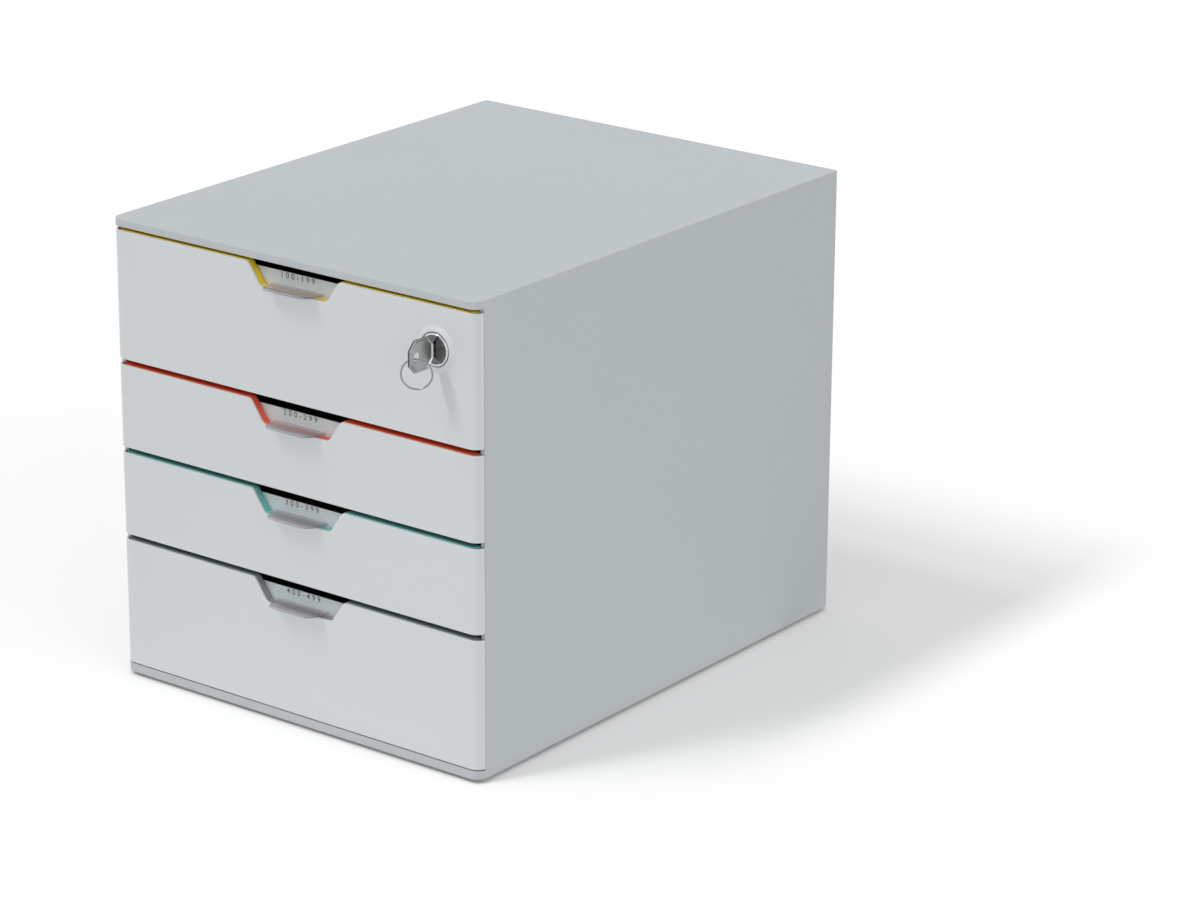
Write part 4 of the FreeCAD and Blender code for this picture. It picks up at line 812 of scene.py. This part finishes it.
corner = math.atan2(SLOT_Z, SLOT_X)
angles = directions([corner, math.pi - corner, math.pi + corner, 2 * math.pi - corner])
slot = around(angles, SLOT_X, SLOT_Z)
slot_rim = around(angles, SLOT_X + SLOT_BEVEL, SLOT_Z + SLOT_BEVEL)
stub = around(angles, STUB, STUB)
plug_rings = [
    (slot, 17.6), (slot, -1.9), (slot_rim, -2.1),
    (8.05, -2.1), (8.3, -2.02), (8.4, -1.8), (8.4, -0.9), (6.0, -0.9), (6.0, 20.6),
    (stub, 20.6), (stub, 22.6),
]
rings = [
    np.stack([lock_x + radius * np.cos(angles), front_y + depth + 0 * angles,
              lock_z + radius * np.sin(angles)], -1)
    for radius, depth in plug_rings
]
piece("lock_plug_turned", [loft(np.stack(rings))], lock_face,
      "lock_plug", ["lock_plug"])

# %% [markdown]
# ## Key
#
# The key is stamped from strip. Its bow is an eight-sided plate with a hole and a raised, coined
# rim. An extruded outline would have the shape but knife edges. Here each direction from the hole
# meets the outline at the nearest of eight straight sides, so the rim can be shrunk for its soft
# steps by making those eight distances smaller. The blade is a loft along its length whose height
# dips at every cut, with a groove along each face.

# %% The bow
# Corners of the bow's rectangle as (depth, height) from its hole, and what is cut off each.
BOW_CORNERS = np.array([(14.2, 9.8), (-6.7, 9.8), (-6.7, -9.2), (14.2, -9.2)])
BOW_CUT = 5.0
HOLE_Y, HOLE_Z = -17.3, -0.3
# The outline's and the hole's rings as (inset, x) and (radius, x): flat, up to the rim and round.
RIM_RINGS = [(1.5, -0.35), (0.6, -0.85), (0.15, -0.85), (0, -0.7),
             (0, 0.7), (0.15, 0.85), (0.6, 0.85), (1.5, 0.35)]
HOLE_RINGS = [(3.0, 0.35), (2.75, 0.35), (2.6, 0.25), (2.6, -0.25), (2.75, -0.35), (3.0, -0.35)]


def octagon(angles, shrink):
    """Distance from the hole to the bow's outline: the least of d / cos(angle - side) over its
    eight sides, with every d made smaller by the shrink."""
    sides = np.arange(8) * math.pi / 4
    toward = np.stack([np.cos(sides), np.sin(sides)], -1)
    reach = (toward @ BOW_CORNERS.T).max(1)
    reach[1::2] -= BOW_CUT / math.sqrt(2)
    facing = np.cos(angles[:, None] - sides)
    meet = np.where(facing > 1e-6, (reach - shrink) / np.maximum(facing, 1e-6), np.inf)
    return meet.min(1)


inward = -BOW_CUT * np.sign(BOW_CORNERS)
cut_ends = np.vstack([BOW_CORNERS + inward * [1, 0], BOW_CORNERS + inward * [0, 1]])
angles = directions(np.arctan2(cut_ends[:, 1], cut_ends[:, 0]) % (2 * math.pi))
bow_rings = [(octagon(angles, amount), x) for amount, x in RIM_RINGS] + HOLE_RINGS
bow = np.stack([
    np.stack([lock_x + x + 0 * angles, front_y + HOLE_Y + radius * np.cos(angles),
              lock_z + HOLE_Z + radius * np.sin(angles)], -1)
    for radius, x in bow_rings
])
print("bow:", len(bow), "rings of", len(angles), "points")

# %% The blade
BLADE_START, BLADE_END, BLADE_HALF = -3.6, 16.95, 3.6
CUTS = np.arange(1, 5) * 3.0
TIP_START, TIP_STEP = 15.95, 16.0
# One half of the section as (x in mm, share of the height). The other half is its opposite.
HALF_SECTION = np.array([(0.6, 1), (0.82, 0.93), (0.82, 0.3), (0.5, 0.2),
                         (0.5, -0.2), (0.82, -0.3), (0.82, -0.93), (0.6, -1)])

run = np.unique(np.concatenate([np.linspace(BLADE_START, BLADE_END, 56), CUTS, [TIP_STEP]]))
dip = np.clip(1 - np.abs(run[:, None] - CUTS), 0, 1).max(1)
tall = BLADE_HALF - dip - np.clip(run - TIP_START, 0, 1)
section = np.vstack([HALF_SECTION, -HALF_SECTION])
blade = np.stack([
    lock_x + section[:, 0] + 0 * run[:, None],
    front_y + run[:, None] + 0 * section[:, 0],
    lock_z + section[:, 1] * tall[:, None],
], -1)
piece("key_stamped", [loft(bow, closed=True), loft(blade)], key_steel,
      "key", ["key"], sharp=25)

# %% [markdown]
# ## Key ring
#
# The ring is thin round wire that hangs through the bow's hole, turned a little towards the
# right. A torus primitive would do, but it would need turning as an object. Worked out as an
# array, a small circle carried round a large one, it is in its place from the start.

# %% Ring
RING_RADIUS, WIRE_RADIUS, RING_HANG, RING_YAW = 8.9, 0.5, 1.3, math.radians(33)

turn = np.linspace(0, 2 * math.pi, 96, endpoint=False)[:, None]
wire = np.linspace(0, 2 * math.pi, 14, endpoint=False)
out = RING_RADIUS + WIRE_RADIUS * np.cos(wire)
across, through = out * np.cos(turn), WIRE_RADIUS * np.sin(wire)
ring = np.stack([
    lock_x + across * math.cos(RING_YAW) - through * math.sin(RING_YAW),
    front_y + HOLE_Y + across * math.sin(RING_YAW) + through * math.cos(RING_YAW),
    lock_z + HOLE_Z - RING_HANG - RING_RADIUS + out * np.sin(turn),
], -1)
piece("ring_wire", [loft(ring, closed=True)], ring_steel,
      "key_ring", ["key_ring"], sharp=60)

# %% [markdown]
# ## Floor, light and camera
#
# The box stands on a plain white floor that runs out to the horizon, under an even white sky.
# Four suns in a row act as one long soft strip of light from the front left: its shadow has a
# clear edge on the right and a wide soft one at the back. A strip lamp would also do that, but
# its light would weaken along the box. One broad sun from the right fills the side face.
#
# The floor and the sky show as plain white to the camera and in reflections. For the light that
# the floor throws back onto the box it counts as one even surface, dark only under the box, so
# each colour renders as written.

# %% Floor
FLOOR_HALF = 12.0

corners = [(x * FLOOR_HALF, y * FLOOR_HALF, 0) for x, y in ((-1, -1), (1, -1), (1, 1), (-1, 1))]
floor_mesh = bpy.data.meshes.new("floor")
floor_mesh.from_pydata(corners, [], [(0, 1, 2, 3)])
floor = bpy.data.objects.new("floor", floor_mesh)
bpy.context.scene.collection.objects.link(floor)
print("floor:", 2 * FLOOR_HALF, "m wide")

# %% Floor finish
WHITE = (1, 1, 1, 1)
# The light that the floor throws onto the box, and the glow that lifts it to plain white.
FLOOR_LIGHT, FLOOR_LIFT = 0.96, 0.11
# Half the box's width and depth in millimetres, and the run in metres over which the floor's
# light starts beside it.
BOX_HALF_X, BOX_HALF_Y, LIGHT_RUN = 140, 178, 0.004

paper = Finish("floor paper", (245, 245, 245), 0.9, Specular_IOR_Level=0.0, Emission_Color=WHITE)
rays = paper.add("ShaderNodeLightPath").outputs
lift = paper.ramp(rays["Is Diffuse Ray"], 0.0, 1.0, FLOOR_LIFT, 0.0)
paper.feed(lift, "Emission Strength")
spot = paper.place
for operation, operand in (
    ("SUBTRACT", (0, (front_y + BOX_HALF_Y) * MM, 0)),
    ("ABSOLUTE", (0, 0, 0)),
    ("SUBTRACT", (BOX_HALF_X * MM, BOX_HALF_Y * MM, 0)),
):
    spot = paper.add("ShaderNodeVectorMath", {0: spot, 1: operand}, operation=operation).outputs[0]
beside = paper.add("ShaderNodeSeparateXYZ", {0: spot}).outputs
outside = paper.maths("MAXIMUM", beside[0], beside[1])
even = paper.ramp(outside, 0.0, LIGHT_RUN, 0.0, FLOOR_LIGHT)
bounce = paper.add("ShaderNodeEmission", {"Strength": even}).outputs[0]
layers = {0: rays["Is Diffuse Ray"], 1: paper.shader.outputs[0], 2: bounce}
seen = paper.add("ShaderNodeMixShader", layers).outputs[0]
paper.tree.links.new(seen, paper.out.inputs["Surface"])
floor_mesh.materials.append(paper.material)
print("floor finish nodes:", len(paper.tree.nodes))

# %% Sky
SKY = 0.62

world = bpy.data.worlds.new("sky")
bpy.context.scene.world = world
world.use_nodes = True
sky = world.node_tree
path = add_node(sky, "ShaderNodeLightPath").outputs
plain = path["Is Camera Ray"]
for kind in ("Is Glossy Ray", "Is Transmission Ray"):
    either = add_node(sky, "ShaderNodeMath", {0: plain, 1: path[kind]}, operation="MAXIMUM")
    plain = either.outputs[0]
level = add_node(sky, "ShaderNodeMapRange", {"Value": plain, "To Min": SKY, "To Max": 1.0})
background = sky.nodes["Background"]
background.inputs["Color"].default_value = WHITE
sky.links.new(level.outputs[0], background.inputs["Strength"])
print("sky level for light", SKY)

# %% Lamps
SUN_ENERGY, SUN_SPREAD = 0.31, 8
SUN_SIDE, SUN_SLOPES = 0.37, (0.36, 0.54, 0.66, 0.8)
FILL_ENERGY, FILL_SPREAD, FILL_TOWARD = 0.66, 60, (-1.0, 0.2, -0.2)


def sun(name, energy, spread, toward):
    """A sun that shines along a direction, as wide in the sky as its spread in degrees."""
    data = bpy.data.lights.new(name, "SUN")
    data.energy, data.angle = energy, math.radians(spread)
    made = bpy.data.objects.new(name, data)
    bpy.context.scene.collection.objects.link(made)
    made.location = (0, 0, 1)
    made.rotation_mode = "QUATERNION"
    made.rotation_quaternion = Vector(toward).to_track_quat("-Z", "Y")


for number, slope in enumerate(SUN_SLOPES, start=1):
    sun(f"sun_{number}", SUN_ENERGY, SUN_SPREAD, (SUN_SIDE, slope, -1.0))
sun("right_fill", FILL_ENERGY, FILL_SPREAD, FILL_TOWARD)
print("suns:", len(bpy.data.lights))

# %% Camera
AZIMUTH, ELEVATION, ROLL = (math.radians(v) for v in (37.184, 19.231, 0.361))
TARGET, DISTANCE = Vector((0.0908, 0.0120, 0.1465)), 2.5171
SENSOR_WIDTH, LENS, FAR = 36.0, 124.67, 60.0

flat = math.cos(ELEVATION)
back = Vector((math.sin(AZIMUTH) * flat, -math.cos(AZIMUTH) * flat, math.sin(ELEVATION)))
level_right = Vector((math.cos(AZIMUTH), math.sin(AZIMUTH), 0))
right = level_right * math.cos(ROLL) + back.cross(level_right) * math.sin(ROLL)
turned_axes = Matrix((right, back.cross(right), back)).transposed().to_4x4()
camera_data = bpy.data.cameras.new("camera")
camera_data.sensor_width, camera_data.lens = SENSOR_WIDTH, LENS
camera_data.sensor_fit = "HORIZONTAL"
camera_data.clip_end = FAR
camera = bpy.data.objects.new("camera", camera_data)
bpy.context.scene.collection.objects.link(camera)
camera.matrix_world = Matrix.Translation(TARGET + back * DISTANCE) @ turned_axes
bpy.context.scene.camera = camera
bpy.context.scene.view_settings.view_transform = "Standard"
print("camera at", [round(v, 3) for v in camera.location])
